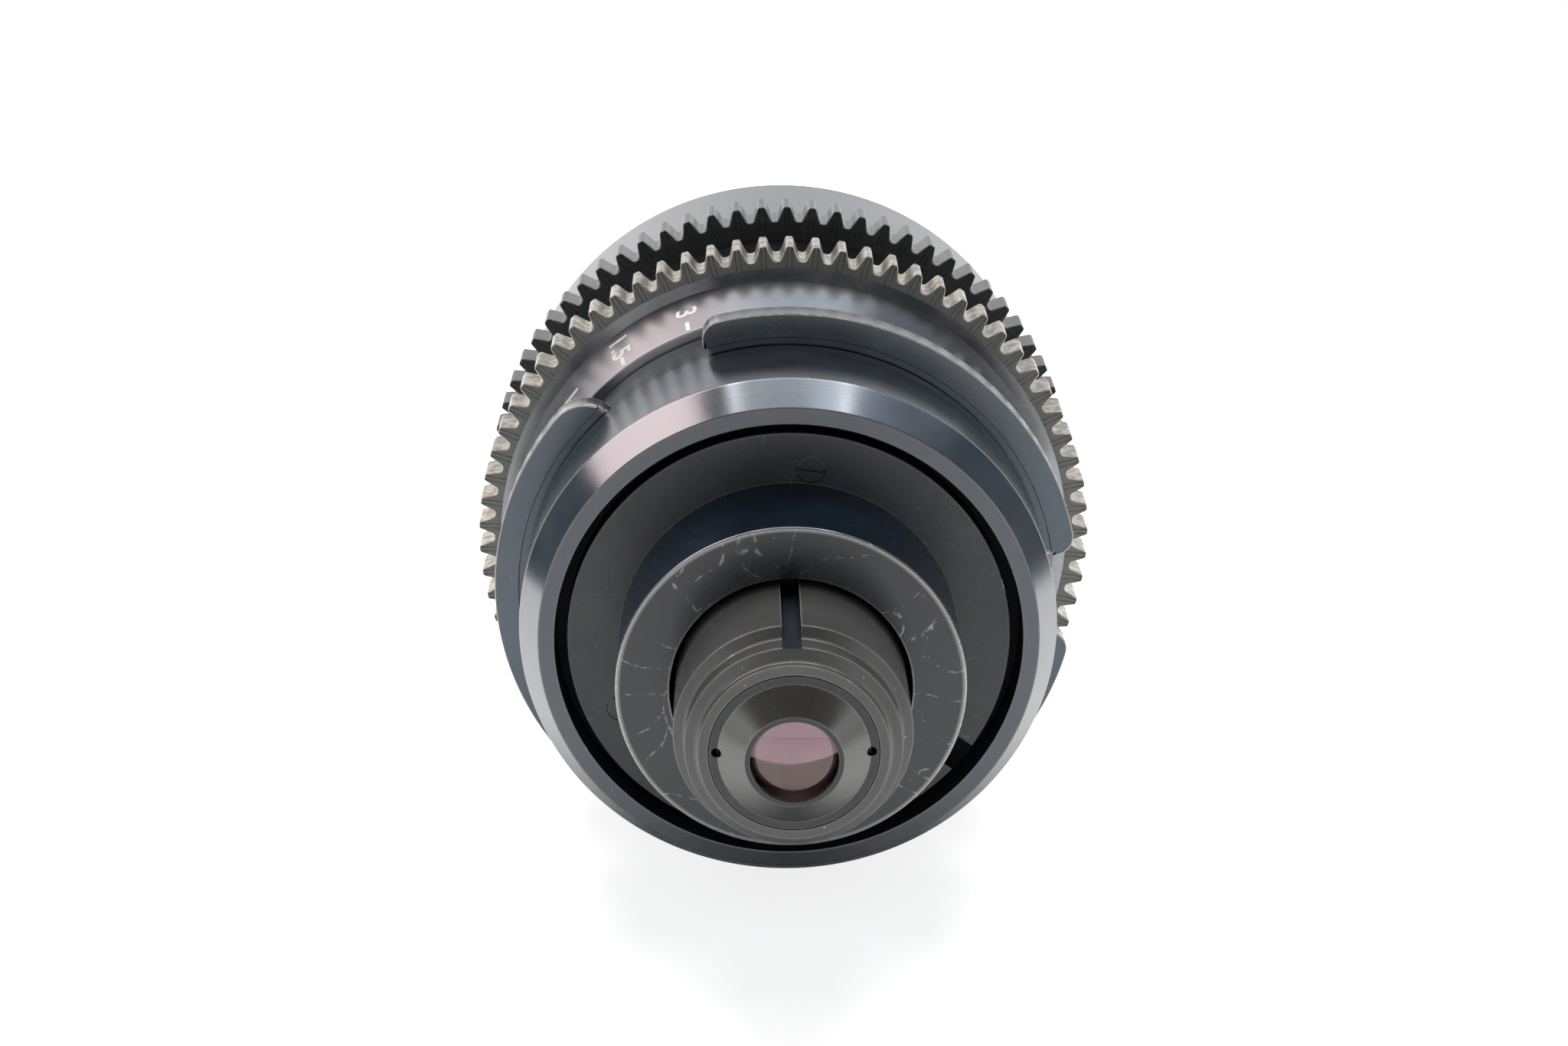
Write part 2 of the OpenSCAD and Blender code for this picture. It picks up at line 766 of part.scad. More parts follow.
// Screw that holds the key on the inside of the disc
module key_screw() {
  color(steel)
    union() {
      axial_pin(key_screw_r, key_screw_d, keyway_a, y_cavity - key_screw_grip + hole_fit, y_cavity);
      axial_pin(key_screw_r, key_screw_waist, keyway_a, y_cavity - eps, y_cavity + key_l);
      axial_pin(key_screw_r, key_screw_head, keyway_a,
        y_cavity + key_l, y_cavity + key_l + key_screw_head_h);
    }
}

// Fixed barrel inside the rings: floor, bearings, band, follower slots and iris window
module main_barrel() {
  color(anodised)
    difference() {
      turned([
        [barrel_hole_r, y_barrel], [bearing_r, y_barrel], [bearing_r, y_band0], [band_r, y_band0],
        [band_r, y_band1], [bearing_r, y_band1], [bearing_r, y_barrel_end],
        [barrel_bore_r, y_barrel_end], [barrel_bore_r, y_floor], [barrel_hole_r, y_floor]
      ]);
      for (i = [0 : mount_screw_n - 1])
        axial_pin(mount_screw_r, mount_screw_d + 2 * seat_fit, mount_screw_a0 + i * mount_screw_step,
          y_barrel - over, y_barrel + mount_thread_l + tip_room);
      for (i = [0 : follower_n - 1])
        follower_slot(follower_a0 + i * follower_step);
      iris_window(barrel_bore_r - over, bearing_r + over, focus_travel);
      axial_pin(stop_r, stop_pin_d + 2 * seat_fit, stop_a, y_band0 - over, y_band0 + stop_pin_in);
      axial_pin(stop_r, stop_pin_d + 2 * seat_fit, stop_a, y_band1 - stop_pin_in, y_band1 + over);
      for (i = [0 : housing_screw_n - 1])
        radial_pin(bearing_r - housing_screw_in, bearing_r + over, housing_screw_d + 2 * seat_fit,
          housing_screw_a0 + i * housing_screw_step, y_housing_screw);
    }
}

// Straight slot in which one follower moves along the axis
module follower_slot(a) {
  slot_d = follower_d + 2 * slot_fit;
  radial_pin(barrel_bore_r - over, bearing_r + over, slot_d, a, y_follower);
  radial_pin(barrel_bore_r - over, bearing_r + over, slot_d, a, y_follower + focus_travel);
  at_angle(a)
    translate([barrel_bore_r - over, y_follower, -slot_d / 2])
      cube([bearing_r - barrel_bore_r + 2 * over, focus_travel, slot_d]);
}

// Window round the axis in which the iris pin swings, and moves along by the given travel
module iris_window(r0, r1, travel) {
  ring_piece(r0, r1, iris_pin_a - iris_turn - iris_slot_half, iris_pin_a + iris_slot_half,
    y_iris_pin - iris_pin_d / 2 - slot_fit, y_iris_pin + iris_pin_d / 2 + slot_fit + travel);
}

// Two pins in the band that stop the focus ring and the iris ring
module stop_pins() {
  color(steel)
    union() {
      axial_pin(stop_r, stop_pin_d, stop_a, y_band0 - stop_pin_l, y_band0 + stop_pin_in - hole_fit);
      axial_pin(stop_r, stop_pin_d, stop_a, y_band1 - stop_pin_in + hole_fit, y_band1 + stop_pin_l);
    }
}

// Outer front tube with the accessory thread
module front_housing() {
  color(anodised)
    difference() {
      turned([
        [bearing_r + seat_fit, y_front0], [front_r - housing_chamfer, y_front0],
        [front_r, y_front0 + housing_chamfer], [front_r, y_front1 - housing_chamfer],
        [front_r - housing_chamfer, y_front1], [front_thread_r, y_front1],
        [front_thread_r, y_front_ring + front_ring_t],
        [front_thread_r - front_ring_step, y_front_ring + front_ring_t],
        [front_thread_r - front_ring_step, y_front_ring], [front_bore_r, y_front_ring],
        [front_bore_r, y_barrel_end],
        [bearing_r + seat_fit, y_barrel_end]
      ]);
      for (i = [0 : housing_screw_n - 1])
        radial_pin(bearing_r - over, front_r + over, housing_screw_d + 2 * seat_fit,
          housing_screw_a0 + i * housing_screw_step, y_housing_screw);
    }
}

// Set screws that lock the housing on the barrel
module housing_screws() {
  color(steel)
    for (i = [0 : housing_screw_n - 1]) {
      a = housing_screw_a0 + i * housing_screw_step;
      r_top = front_r - housing_screw_sunk;
      difference() {
        radial_pin(bearing_r - housing_screw_in + hole_fit, r_top, housing_screw_d, a, y_housing_screw);
        radial_pin(r_top - socket_depth, front_r, housing_screw_d * socket_share, a, y_housing_screw);
      }
    }
}

// Trim ring in the bottom of the front opening
module front_ring() {
  color(matte_black)
    ring(carrier_r + front_ring_gap, front_thread_r - front_ring_step - seat_fit,
      y_front_ring, y_front_ring + front_ring_t);
}

// Focus ring with its conical scale, three cam grooves and the groove of its stop
module focus_ring() {
  color(anodised)
    difference() {
      turned([
        [ring_bore_r, y_focus0], [scale_rear_d / 2, y_focus0], [scale_front_d / 2, y_fgear],
        [gear_seat_r, y_fgear], [gear_seat_r, y_focus1], [ring_bore_r, y_focus1]
      ]);
      for (i = [0 : follower_n - 1])
        cam_groove(follower_a0 + i * follower_step);
      ring_piece(stop_r - stop_pin_d / 2 - stop_play, stop_r + stop_pin_d / 2 + stop_play,
        stop_a - stop_half, stop_a + focus_turn + stop_half, y_focus1 - stop_pin_l, y_focus1 + over);
      gear_screw_seats(y_fgear + focus_gear_w / 2);
    }
}

// Groove that leads a follower forward as the ring turns: a tilted ring groove, kept over the ring's turn
module cam_groove(a) {
  half = follower_r + groove_fit;
  mid = a + focus_turn / 2;
  intersection() {
    at_angle(mid)
      translate([0, y_groove, 0])
        rotate([-groove_tilt, 0, 0])
          ring(ring_bore_r - over, groove_out, -half, half);
    sector(groove_out + 2 * over, a - groove_end, a + focus_turn + groove_end,
      y_focus0 - over, y_focus1 + over);
  }
}

// Drive gear of the focus ring
module focus_gear() {
  color(bare_metal)
    gear(y_fgear, y_focus1);
}

// Set screws of the focus gear
module focus_gear_screws() {
  color(steel)
    gear_screws(y_fgear + focus_gear_w / 2);
}

// Iris ring with its scale, the slot that takes the drive pin and the groove of its stop
module iris_ring() {
  slot_w = iris_pin_d + 2 * blade_pin_fit;
  color(anodised)
    difference() {
      turned([
        [ring_bore_r, y_iris0], [band_r, y_iris0], [band_r, y_igear],
        [gear_seat_r, y_igear], [gear_seat_r, y_iris1], [ring_bore_r, y_iris1]
      ]);
      at_angle(iris_pin_a)
        translate([ring_bore_r - over, y_iris_pin - iris_pin_d / 2 - slot_fit, -slot_w / 2])
          cube([iris_pin_reach + over + tip_room, focus_travel + iris_pin_d + 2 * slot_fit, slot_w]);
      ring_piece(stop_r - stop_pin_d / 2 - stop_play, stop_r + stop_pin_d / 2 + stop_play,
        stop_a - stop_half, stop_a + iris_turn + stop_half, y_iris0 - over, y_iris0 + stop_pin_l);
      gear_screw_seats(y_igear + iris_gear_w / 2);
    }
}

// Drive gear of the iris ring
module iris_gear() {
  color(bare_metal)
    gear(y_igear, y_iris1);
}

// Set screws of the iris gear
module iris_gear_screws() {
  color(steel)
    gear_screws(y_igear + iris_gear_w / 2);
}

// Tube that carries all the optics and slides in the barrel
module lens_carrier() {
  color(anodised)
    difference() {
      turned([
        [tube_thread_r + seat_fit, y_carrier], [carrier_r, y_carrier], [carrier_r, y_carrier_end],
        [carrier_in_r, y_carrier_end], [carrier_in_r, y_plate0], [shelf_r, y_plate0],
        [shelf_r, y_plate0 - shelf_t], [carrier_in_r, y_plate0 - shelf_t],
        [carrier_in_r, y_carrier_floor], [tube_thread_r + seat_fit, y_carrier_floor]
      ]);
      for (i = [0 : follower_n - 1])
        radial_pin(carrier_in_r - over, carrier_r + over, follower_pin_d + 2 * seat_fit,
          follower_a0 + i * follower_step, y_follower);
      iris_window(carrier_in_r - over, carrier_r + over, 0);
    }
}

// Stepped pins in the carrier whose rollers run in the slots and grooves
module cam_followers() {
  color(brass)
    for (i = [0 : follower_n - 1]) {
      a = follower_a0 + i * follower_step;
      union() {
        radial_pin(follower_in, carrier_r + run_fit, follower_pin_d, a, y_follower);
        radial_pin(carrier_r + run_fit, follower_out, follower_d, a, y_follower);
      }
    }
}

// Keyed tube that reaches back toward the film and holds the rear glass
module rear_tube() {
  color(matte_black)
    difference() {
      turned([
        [bezel_r + seat_fit, y_rim], [rim_r, y_rim], [rim_r, y_step0], [step_r, y_step0 + shoulder_l],
        [step_r, y_step1], [rear_tube_r, y_step1 + shoulder_l],
        [rear_tube_r, y_carrier], [tube_thread_r, y_carrier], [tube_thread_r, y_tube_end],
        [rear_glass_r + seat_fit, y_tube_end], [rear_glass_r + seat_fit, y_rear_seat],
        [tunnel_r, y_rear_seat], [tunnel_r, y_last_seat + last_throat_t + last_throat_bevel],
        [last_throat_r, y_last_seat + last_throat_t], [last_throat_r, y_last_seat],
        [bezel_r + seat_fit, y_last_seat]
      ]);
      at_angle(keyway_a)
        translate([rear_tube_r - keyway_depth, y_rim, -keyway_w / 2])
          cube([keyway_depth + over, keyway_front - y_rim, keyway_w]);
    }
}

// Nut that locks the rear tube in the carrier's floor
module tube_lock_nut() {
  color(brass)
    difference() {
      ring(tube_thread_r + seat_fit, lock_nut_r, y_carrier_floor, y_carrier_floor + lock_nut_t);
      for (a = [nut_slot_a, nut_slot_a + 180])
        at_angle(a)
          translate([lock_nut_r - nut_slot_depth, y_carrier_floor + lock_nut_t / 2, -nut_slot_w / 2])
            cube([nut_slot_depth + over, lock_nut_t, nut_slot_w]);
    }
}

// Ring with a conical rim that holds the last glass, with two spanner holes
module rear_bezel() {
  flat_r = bezel_r - bezel_flat_w;
  bezel_in = lip_r - lip_w;
  y_seat_out = y_last_vertex + sag(last_curve, last_glass_r) - last_cone_gap;
  color(matte_black)
    difference() {
      turned([
        [flat_r, y_rim], [bezel_r, y_rim], [bezel_r, y_seat_out],
        [bezel_in, y_last_vertex + sag(last_curve, bezel_in) - last_cone_gap],
        [bezel_in, y_rim - bezel_h], [lip_r, y_rim - bezel_h]
      ]);
      for (a = [spanner_a, spanner_a + spanner_span])
        axial_pin(flat_r + spanner_inset, spanner_d, a, y_rim - over, y_rim + spanner_depth);
    }
}

// Last glass, close to the film
module rear_element() {
  color(glass_tint, 0.5)
    glass(last_glass_r, y_last_vertex, y_last_seat, last_curve, 0);
}

// Thick glass on the rear tube's inner shoulder
module rear_mid_element() {
  color(glass_tint, 0.5)
    glass(rear_glass_r, y_rear_seat, y_rear_seat + rear_mid_t, 0, rear_mid_curve);
}

// Spacer between the two glasses of the rear group
module rear_spacer() {
  y0 = y_rear_seat + rear_mid_t - sag(rear_mid_curve, rear_glass_r - rear_spacer_w) + rear_spacer_gap;
  color(matte_black)
    ring(rear_glass_r - rear_spacer_w, rear_glass_r, y0, y_rear_seat + rear_mid_t + rear_spacer_t);
}

// Hollow glass behind the iris
module rear_inner_element() {
  y0 = y_rear_seat + rear_mid_t + rear_spacer_t;
  color(glass_tint, 0.5)
    glass(rear_glass_r, y0, y0 + rear_inner_t - sag(rear_inner_curve, rear_glass_r), 0, -rear_inner_curve);
}

// Threaded ring that holds the rear group
module rear_retainer() {
  y0 = y_rear_seat + rear_mid_t + rear_spacer_t + rear_inner_t;
  color(matte_black)
    ring(rear_glass_r - holder_w, rear_glass_r, y0, y0 + rear_ring_t);
}

// Plate with the pivot holes of the blades
module iris_seat() {
  color(matte_black)
    difference() {
      ring(iris_open_r, carrier_in_r - seat_fit, y_plate0, y_plate0 + iris_plate_t);
      for (i = [0 : iris_n - 1])
        axial_pin(pivot_r, 2 * (blade_pin_r + blade_pin_fit), i * iris_step,
          y_plate0 + pivot_floor, y_plate0 + iris_plate_t + over);
    }
}

// Threaded ring that keeps the cam ring in place
module iris_retainer() {
  color(matte_black)
    ring(carrier_in_r - iris_ring_w, carrier_in_r - seat_fit,
      y_cam1 + cam_gap, y_cam1 + cam_gap + iris_ring_t);
}

// Cam ring whose curved slots swing the blades
module iris_cam_ring() {
  slot_r = blade_pin_r + blade_pin_fit;
  steps = 18;
  turns = [for (i = [0 : steps]) iris_turn * i / steps];
  color(brass)
    difference() {
      ring(iris_open_r + cam_edge, carrier_in_r - run_fit, y_cam0, y_cam1);
      for (i = [0 : iris_n - 1])
        at_angle(i * iris_step) {
          plate(y_cam0 - over, y_cam1 + over)
            polygon(concat(
              [for (t = turns) slot_edge(t, slot_r)],
              [for (j = [steps : -1 : 0]) slot_edge(turns[j], -slot_r)]
            ));
          for (t = [0, iris_turn])
            plate(y_cam0 - over, y_cam1 + over)
              translate(cam_point(t))
                circle(r = slot_r, $fn = pin_fn);
        }
      radial_pin(iris_pin_in, carrier_in_r + over, iris_pin_d + 2 * seat_fit, iris_pin_a, y_iris_pin);
    }
}

// Point on the edge of a cam slot, square to the slot's own path
function slot_edge(t, w) =
  let (step = 0.5, p = cam_point(t), along = cam_point(t + step) - cam_point(t - step), n = norm(along))
  p + w * [along[1], -along[0]] / n;

// Pin that links the iris ring to the cam ring
module iris_drive_pin() {
  color(steel)
    radial_pin(iris_pin_in + seat_fit, iris_pin_out, iris_pin_d, iris_pin_a, y_iris_pin);
}

// One iris blade, on its own level, with its pivot pin and its drive pin
module blade(i) {
  y0 = y_blade0 + i * blade_pitch;
  pin_at = drive_pin(0);
  root = polar((blade_in + blade_out) / 2, -blade_root);
  color(matte_black)
    at_angle(i * iris_step) {
      union() {
        ring_piece(blade_in, blade_out, -blade_span, blade_tail, y0, y0 + blade_t);
        blade_link([pivot_r, 0], pin_at, y0);
        blade_link([pivot_r, 0], root, y0);
        blade_pin([pivot_r, 0], y_plate0 + pivot_floor + tip_room, y0 + blade_t);
        blade_pin(pin_at, y0, y_cam1 - blade_pin_short);
      }
    }
}

// Flat link with round ends between two points of a blade
module blade_link(p, q, y0) {
  d = q - p;
  n = norm(d);
  side = [-d[1], d[0]] / n * blade_lobe;
  plate(y0, y0 + blade_t)
    polygon([p + side, p - side, q - side, q + side]);
  for (c = [p, q])
    plate(y0, y0 + blade_t)
      translate(c)
        circle(r = blade_lobe, $fn = pin_fn);
}

// Round pin of a blade
module blade_pin(p, y0, y1) {
  plate(y0, y1)
    translate(p)
      circle(r = blade_pin_r, $fn = pin_fn);
}

module iris_blade_1() { blade(0); }
module iris_blade_2() { blade(1); }
module iris_blade_3() { blade(2); }
module iris_blade_4() { blade(3); }
module iris_blade_5() { blade(4); }
module iris_blade_6() { blade(5); }

// Cell of the front group, stepped to seat three glasses
module front_cell() {
  color(anodised)
    turned([
      [inner_glass_r - cell_ledge, y_cell0], [cell_r, y_cell0], [cell_r, y_carrier_end],
      [carrier_r - cell_edge, y_carrier_end], [carrier_r - cell_edge, y_cell1],
      [front_glass_r + seat_fit, y_cell1], [front_glass_r + seat_fit, y_front_seat],
      [middle_glass_r + seat_fit, y_front_seat],
      [middle_glass_r + seat_fit, y_middle_seat], [inner_glass_r + seat_fit, y_middle_seat],
      [inner_glass_r + seat_fit, y_inner_seat], [inner_glass_r - cell_ledge, y_inner_seat]
    ]);
}

// Hollow glass in front of the iris
module inner_element() {
  color(glass_tint, 0.5)
    glass(inner_glass_r, y_inner_seat, y_inner_seat + inner_edge - sag(inner_curve, inner_glass_r),
      0, -inner_curve);
}

// Ring that holds the inner glass
module inner_retainer() {
  color(matte_black)
    ring(inner_glass_r - holder_w, inner_glass_r,
      y_inner_seat + inner_edge, y_middle_seat - holder_drop);
}

// Curved glass in the middle of the front group
module middle_element() {
  color(glass_tint, 0.5)
    glass(middle_glass_r, y_middle_seat + sag(middle_rear_curve, middle_glass_r),
      y_middle_seat + middle_edge + sag(middle_front_curve, middle_glass_r),
      -middle_rear_curve, middle_front_curve);
}

// Ring that holds the middle glass
module middle_retainer() {
  color(matte_black)
    turned([
      [middle_glass_r, y_middle_seat + middle_edge], [middle_glass_r, y_front_seat - holder_drop],
      [middle_glass_r - holder_w, y_front_seat - holder_drop],
      [middle_glass_r - holder_w, y_middle_seat + middle_edge + holder_gap]
    ]);
}

// Front glass
module front_element() {
  color(glass_tint, 0.5)
    glass(front_glass_r, y_front_seat, y_front_seat + front_edge + sag(front_curve, front_glass_r),
      0, front_curve);
}

// Ring that holds the front glass
module front_retainer() {
  color(matte_black)
    turned([
      [front_glass_r, y_front_seat + front_edge], [front_glass_r, y_cell1 - holder_drop],
      [front_glass_r - holder_w, y_cell1 - holder_drop],
      [front_glass_r - holder_w, y_front_seat + front_edge + holder_gap]
    ]);
}

bayonet_mount();
mount_shim();
mount_screws();
rear_sleeve();
sleeve_screws();
guide_key();
key_screw();
main_barrel();
stop_pins();
front_housing();
housing_screws();
front_ring();
focus_ring();
focus_gear();
focus_gear_screws();
iris_ring();
iris_gear();
iris_gear_screws();
lens_carrier();
cam_followers();
rear_tube();
tube_lock_nut();
rear_bezel();
rear_element();
rear_mid_element();
rear_spacer();
rear_inner_element();
rear_retainer();
iris_seat();
iris_retainer();
front_cell();
inner_element();
inner_retainer();
middle_element();
middle_retainer();
front_element();
front_retainer();
iris_cam_ring();
iris_drive_pin();
iris_blade_1();
iris_blade_2();
iris_blade_3();
iris_blade_4();
iris_blade_5();
iris_blade_6();
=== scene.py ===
"""Dresses a packed prime lens for a cinema camera: turned, cut and coated surfaces on a white studio floor."""
import json
import math

import bmesh
import bpy
import numpy as np
from mathutils import Matrix, Vector

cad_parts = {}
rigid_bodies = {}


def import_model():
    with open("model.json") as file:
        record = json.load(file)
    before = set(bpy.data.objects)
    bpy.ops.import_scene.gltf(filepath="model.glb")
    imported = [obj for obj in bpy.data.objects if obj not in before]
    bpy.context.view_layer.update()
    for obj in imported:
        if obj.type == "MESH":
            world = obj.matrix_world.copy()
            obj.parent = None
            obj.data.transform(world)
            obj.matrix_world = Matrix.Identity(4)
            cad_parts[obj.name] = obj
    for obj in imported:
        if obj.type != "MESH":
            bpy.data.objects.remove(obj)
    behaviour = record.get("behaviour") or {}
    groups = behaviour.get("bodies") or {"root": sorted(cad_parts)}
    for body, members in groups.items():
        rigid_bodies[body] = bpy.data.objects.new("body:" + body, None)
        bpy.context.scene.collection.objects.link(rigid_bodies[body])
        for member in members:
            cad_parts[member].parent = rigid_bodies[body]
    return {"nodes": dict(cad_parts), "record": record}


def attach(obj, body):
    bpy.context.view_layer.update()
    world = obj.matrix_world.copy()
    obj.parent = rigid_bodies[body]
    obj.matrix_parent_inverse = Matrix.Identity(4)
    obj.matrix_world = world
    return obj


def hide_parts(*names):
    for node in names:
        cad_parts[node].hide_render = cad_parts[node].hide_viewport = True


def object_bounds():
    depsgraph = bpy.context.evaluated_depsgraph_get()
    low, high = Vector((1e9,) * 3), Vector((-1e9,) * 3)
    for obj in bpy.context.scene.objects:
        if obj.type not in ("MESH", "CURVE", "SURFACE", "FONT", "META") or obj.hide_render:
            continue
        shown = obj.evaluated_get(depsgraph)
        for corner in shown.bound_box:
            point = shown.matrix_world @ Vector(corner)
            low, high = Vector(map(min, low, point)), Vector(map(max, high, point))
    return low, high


for startup in list(bpy.data.objects):
    bpy.data.objects.remove(startup)

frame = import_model()
CAD_BOX = [list(corner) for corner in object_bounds()]

bl_info = {
    "name": "Cinema lens dresser",
    "version": (1, 0, 0),
    "blender": (4, 5, 0),
    "location": "View3D > Sidebar > Lens",
    "description": "Builds the visible pieces of a cinema prime lens over its packed solids",
    "category": "Object",
}

MM = 0.001
TURN = 2 * math.pi
WELD = 1e-7  # Points closer than this are one point
TINY = 1e-12  # Least length that anything is divided by
COLUMNS = 360  # Steps round the axis of a turned piece
STEPS = 5  # Points on a broken corner
SHARP = math.radians(42)  # Edges sharper than this aren't shaded smooth

# Places that several pieces share, in metres: stations along the axis from the flange seat, then radii
SEAT_Y = -8.53 * MM
FLANGE_Y = -11.03 * MM
SLEEVE_END_Y = -5.53 * MM
FOCUS_GEAR_Y = 13.1 * MM, 16.65 * MM
IRIS_GEAR_Y = 27.35 * MM, 30.75 * MM
SCALE_REAR_Y, SCALE_FRONT_Y = 7.6 * MM, 13.1 * MM
SCALE_REAR_R, SCALE_FRONT_R = 25.25 * MM, 27.1 * MM
RING_BORE = 23.05 * MM
GEAR_SEAT = 26 * MM
GEAR_BORE = 26.03 * MM
RELIEF = 0.7 * MM  # Width of the relief between spigot and wings
CORNER_POINTS, RIM_POINTS, FOOT_POINTS = 25, 138, 98  # Points of a wing's outline
FINE = 0.05 * MM  # Break of an edge that hardly shows

# Sizes of the patterns in the finishes, in metres
CLOUD = 7 * MM  # Patches of gloss
CHIP = 0.9 * MM  # Chips, and blots of grease
SPECK = 2.2 * MM  # From one dust speck to the next
HAIR = 7 * MM  # From one hair scratch to the next
BEND, SWAY = 9 * MM, 12 * MM  # Length and width of a scratch's bends


def linear(code):
    """Linear colour of an sRGB hex code: c / 12.92 below 0.04045, else ((c + 0.055) / 1.055) ^ 2.4."""
    c = np.array([int(code[i:i + 2], 16) for i in (1, 3, 5)]) / 255
    return tuple(np.where(c <= 0.04045, c / 12.92, ((c + 0.055) / 1.055) ** 2.4)) + (1.0,)


WHITE = linear("#ffffff")
DUST = linear("#aaa7a1")
# Pale edge colour: rubbed metal, and a painted highlight that stands in for the gleam of broken edges
RUB_AND_EDGE_HIGHLIGHT = linear("#bdbbb6")
GREASE = linear("#3a342c")


def length(label, note, mm):
    """Length property whose default is given in millimetres."""
    return bpy.props.FloatProperty(name=label, description=note, default=mm * MM, unit="LENGTH", precision=5)


def angle(label, note, degrees):
    """Angle property whose default is given in degrees, counted from the right as the camera sees it."""
    return bpy.props.FloatProperty(name=label, description=note, default=math.radians(degrees), unit="ROTATION")


def colour(label, note, code):
    """Colour property whose default is an sRGB hex code."""
    return bpy.props.FloatVectorProperty(name=label, description=note, default=linear(code), size=4,
                                         subtype="COLOR", min=0, max=1)


class LensSizes(bpy.types.PropertyGroup):
    """Sizes of the visible pieces."""
    spigot: length("Spigot radius", "Radius of the spigot that enters the camera", 24.75)
    face: length("Face radius", "Outer radius of the flat ring at the spigot's end", 22.85)
    bore: length("Bore radius", "Inner radius of the flat ring", 21.3)
    neck: length("Neck radius", "Radius of the neck in front of the wings", 24.45)
    wing: length("Wing radius", "Outer radius of the wings", 27.75)
    wing_t: length("Wing thickness", "Thickness of the wings along the axis", 2.3)
    flange: length("Flange radius", "Outer radius of the sleeve's flange", 20.25)
    snout: length("Snout radius", "Outer radius of the sleeve's snout", 15.45)
    hole: length("Hole radius", "Radius of the hole in the snout's disc", 10.65)
    tube: length("Rear tube radius", "Outer radius of the sliding tube", 10.2)
    keyway: length("Keyway width", "Width of the keyway in the sliding tube", 1.6)
    bezel: length("Bezel radius", "Outer radius of the ring round the last glass", 7.15)
    lip: length("Lip radius", "Outer radius of the bezel's lip", 4.15)
    tip: length("Tooth tip radius", "Radius of the tips of the drive gears' teeth", 30.4)
    root: length("Tooth root radius", "Radius of the gaps between the teeth", 28.88)
    front: length("Front radius", "Outer radius of the front housing", 28.4)
    teeth: bpy.props.IntProperty(name="Teeth", description="Number of teeth on each drive gear", default=74, min=20)
    tooth_turn: angle("Tooth phase", "Angle of the first tooth", 1.8)
    digit: length("Digit height", "Height of the numbers on the distance scale", 2.05)


class LensColours(bpy.types.PropertyGroup):
    """Colours of the visible finishes."""
    anodised: colour("Anodised black", "Turned aluminium, dyed black", "#5e646b")
    matte: colour("Matte black", "Matte dyed aluminium of the sleeve", "#212527")
    tube: colour("Blackened brass", "Chemically blackened brass of the rear tube", "#414140")
    cut: colour("Cut aluminium", "Bare metal of the cut teeth", "#e8e0d4")
    worn: colour("Worn aluminium", "Bare metal of worn edges", "#cfcac0")
    brass: colour("Bare brass", "Brass where the black has worn off", "#c2a672")
    paint: colour("Scale paint", "White paint of the distance scale", "#f6f4ee")
    coating: colour("Mauve coating", "Tint of the last glass's inner coating", "#d7d0ff")
    amber: colour("Amber coating", "Tint of the last glass's outer coating and of the next glass", "#f0c8bc")
    clear: colour("Clear coating", "Tint of the other glasses' coatings", "#fbfafe")
    floor: colour("Floor", "Plain studio floor", "#f2f2f2")


def softened(corners, closed=True):
    """Section with broken corners. Each corner P, with the break b, becomes the parabola
    (1-t)^2 A + 2t(1-t) P + t^2 B between the points A and B at the distance b along its two sides,
    and one more point on either side, a little over twice as far off, keeps the flats flat.
    Returns the points and their edge weight: 1 on a break, 0 on a flat."""
    # Largest break in shares of a side, then how far off a flat is held, in breaks and in shares of a side
    most, hold, middle = 0.3, 2.2, 0.45
    corners = np.array(corners, float)
    p = corners[:, :2]
    back, ahead = np.roll(p, 1, 0) - p, np.roll(p, -1, 0) - p
    back_l = np.maximum(np.linalg.norm(back, axis=1, keepdims=True), TINY)
    ahead_l = np.maximum(np.linalg.norm(ahead, axis=1, keepdims=True), TINY)
    b = np.minimum(corners[:, 2:3], most * np.minimum(back_l, ahead_l))
    back, ahead = back / back_l, ahead / ahead_l
    t = np.linspace(0, 1, STEPS)[None, :, None]
    arc = ((1 - t) ** 2 * (p + back * b)[:, None] + 2 * t * (1 - t) * p[:, None]
           + t ** 2 * (p + ahead * b)[:, None])
    before = (p + back * np.minimum(hold * b, middle * back_l))[:, None]
    after = (p + ahead * np.minimum(hold * b, middle * ahead_l))[:, None]
    points = np.concatenate([before, arc, after], 1).reshape(-1, 2)
    weight = np.tile(np.r_[0, 0.6, np.ones(STEPS - 2), 0.6, 0], len(p)) * np.repeat(corners[:, 2] > 0, STEPS + 2)
    if closed:
        points, weight = np.r_[points, points[:1]], np.r_[weight, weight[:1]]
    return points, weight


def lathe(points, weight, columns=COLUMNS):
    """Surface of revolution: a section point (r, y) goes round the optical axis as (r cos a, y, r sin a)."""
    a = np.linspace(0, TURN, columns + 1)
    r, y = points[:, :1], points[:, 1:]
    grid = np.stack([r * np.cos(a), y + 0 * a, r * np.sin(a)], -1)
    return grid, np.repeat(weight[:, None], columns + 1, 1)


def moved(grid, origin, side, axis):
    """Grid made about the Y axis, carried to an origin with its X along side and its Y along axis."""
    side, axis = np.array(side, float), np.array(axis, float)
    return grid @ np.stack([side, axis, np.cross(side, axis)]) + np.array(origin, float)


def out_at(a):
    """Unit vector (cos a, 0, sin a), which points away from the optical axis at the angle a."""
    return np.array([math.cos(a), 0.0, math.sin(a)])


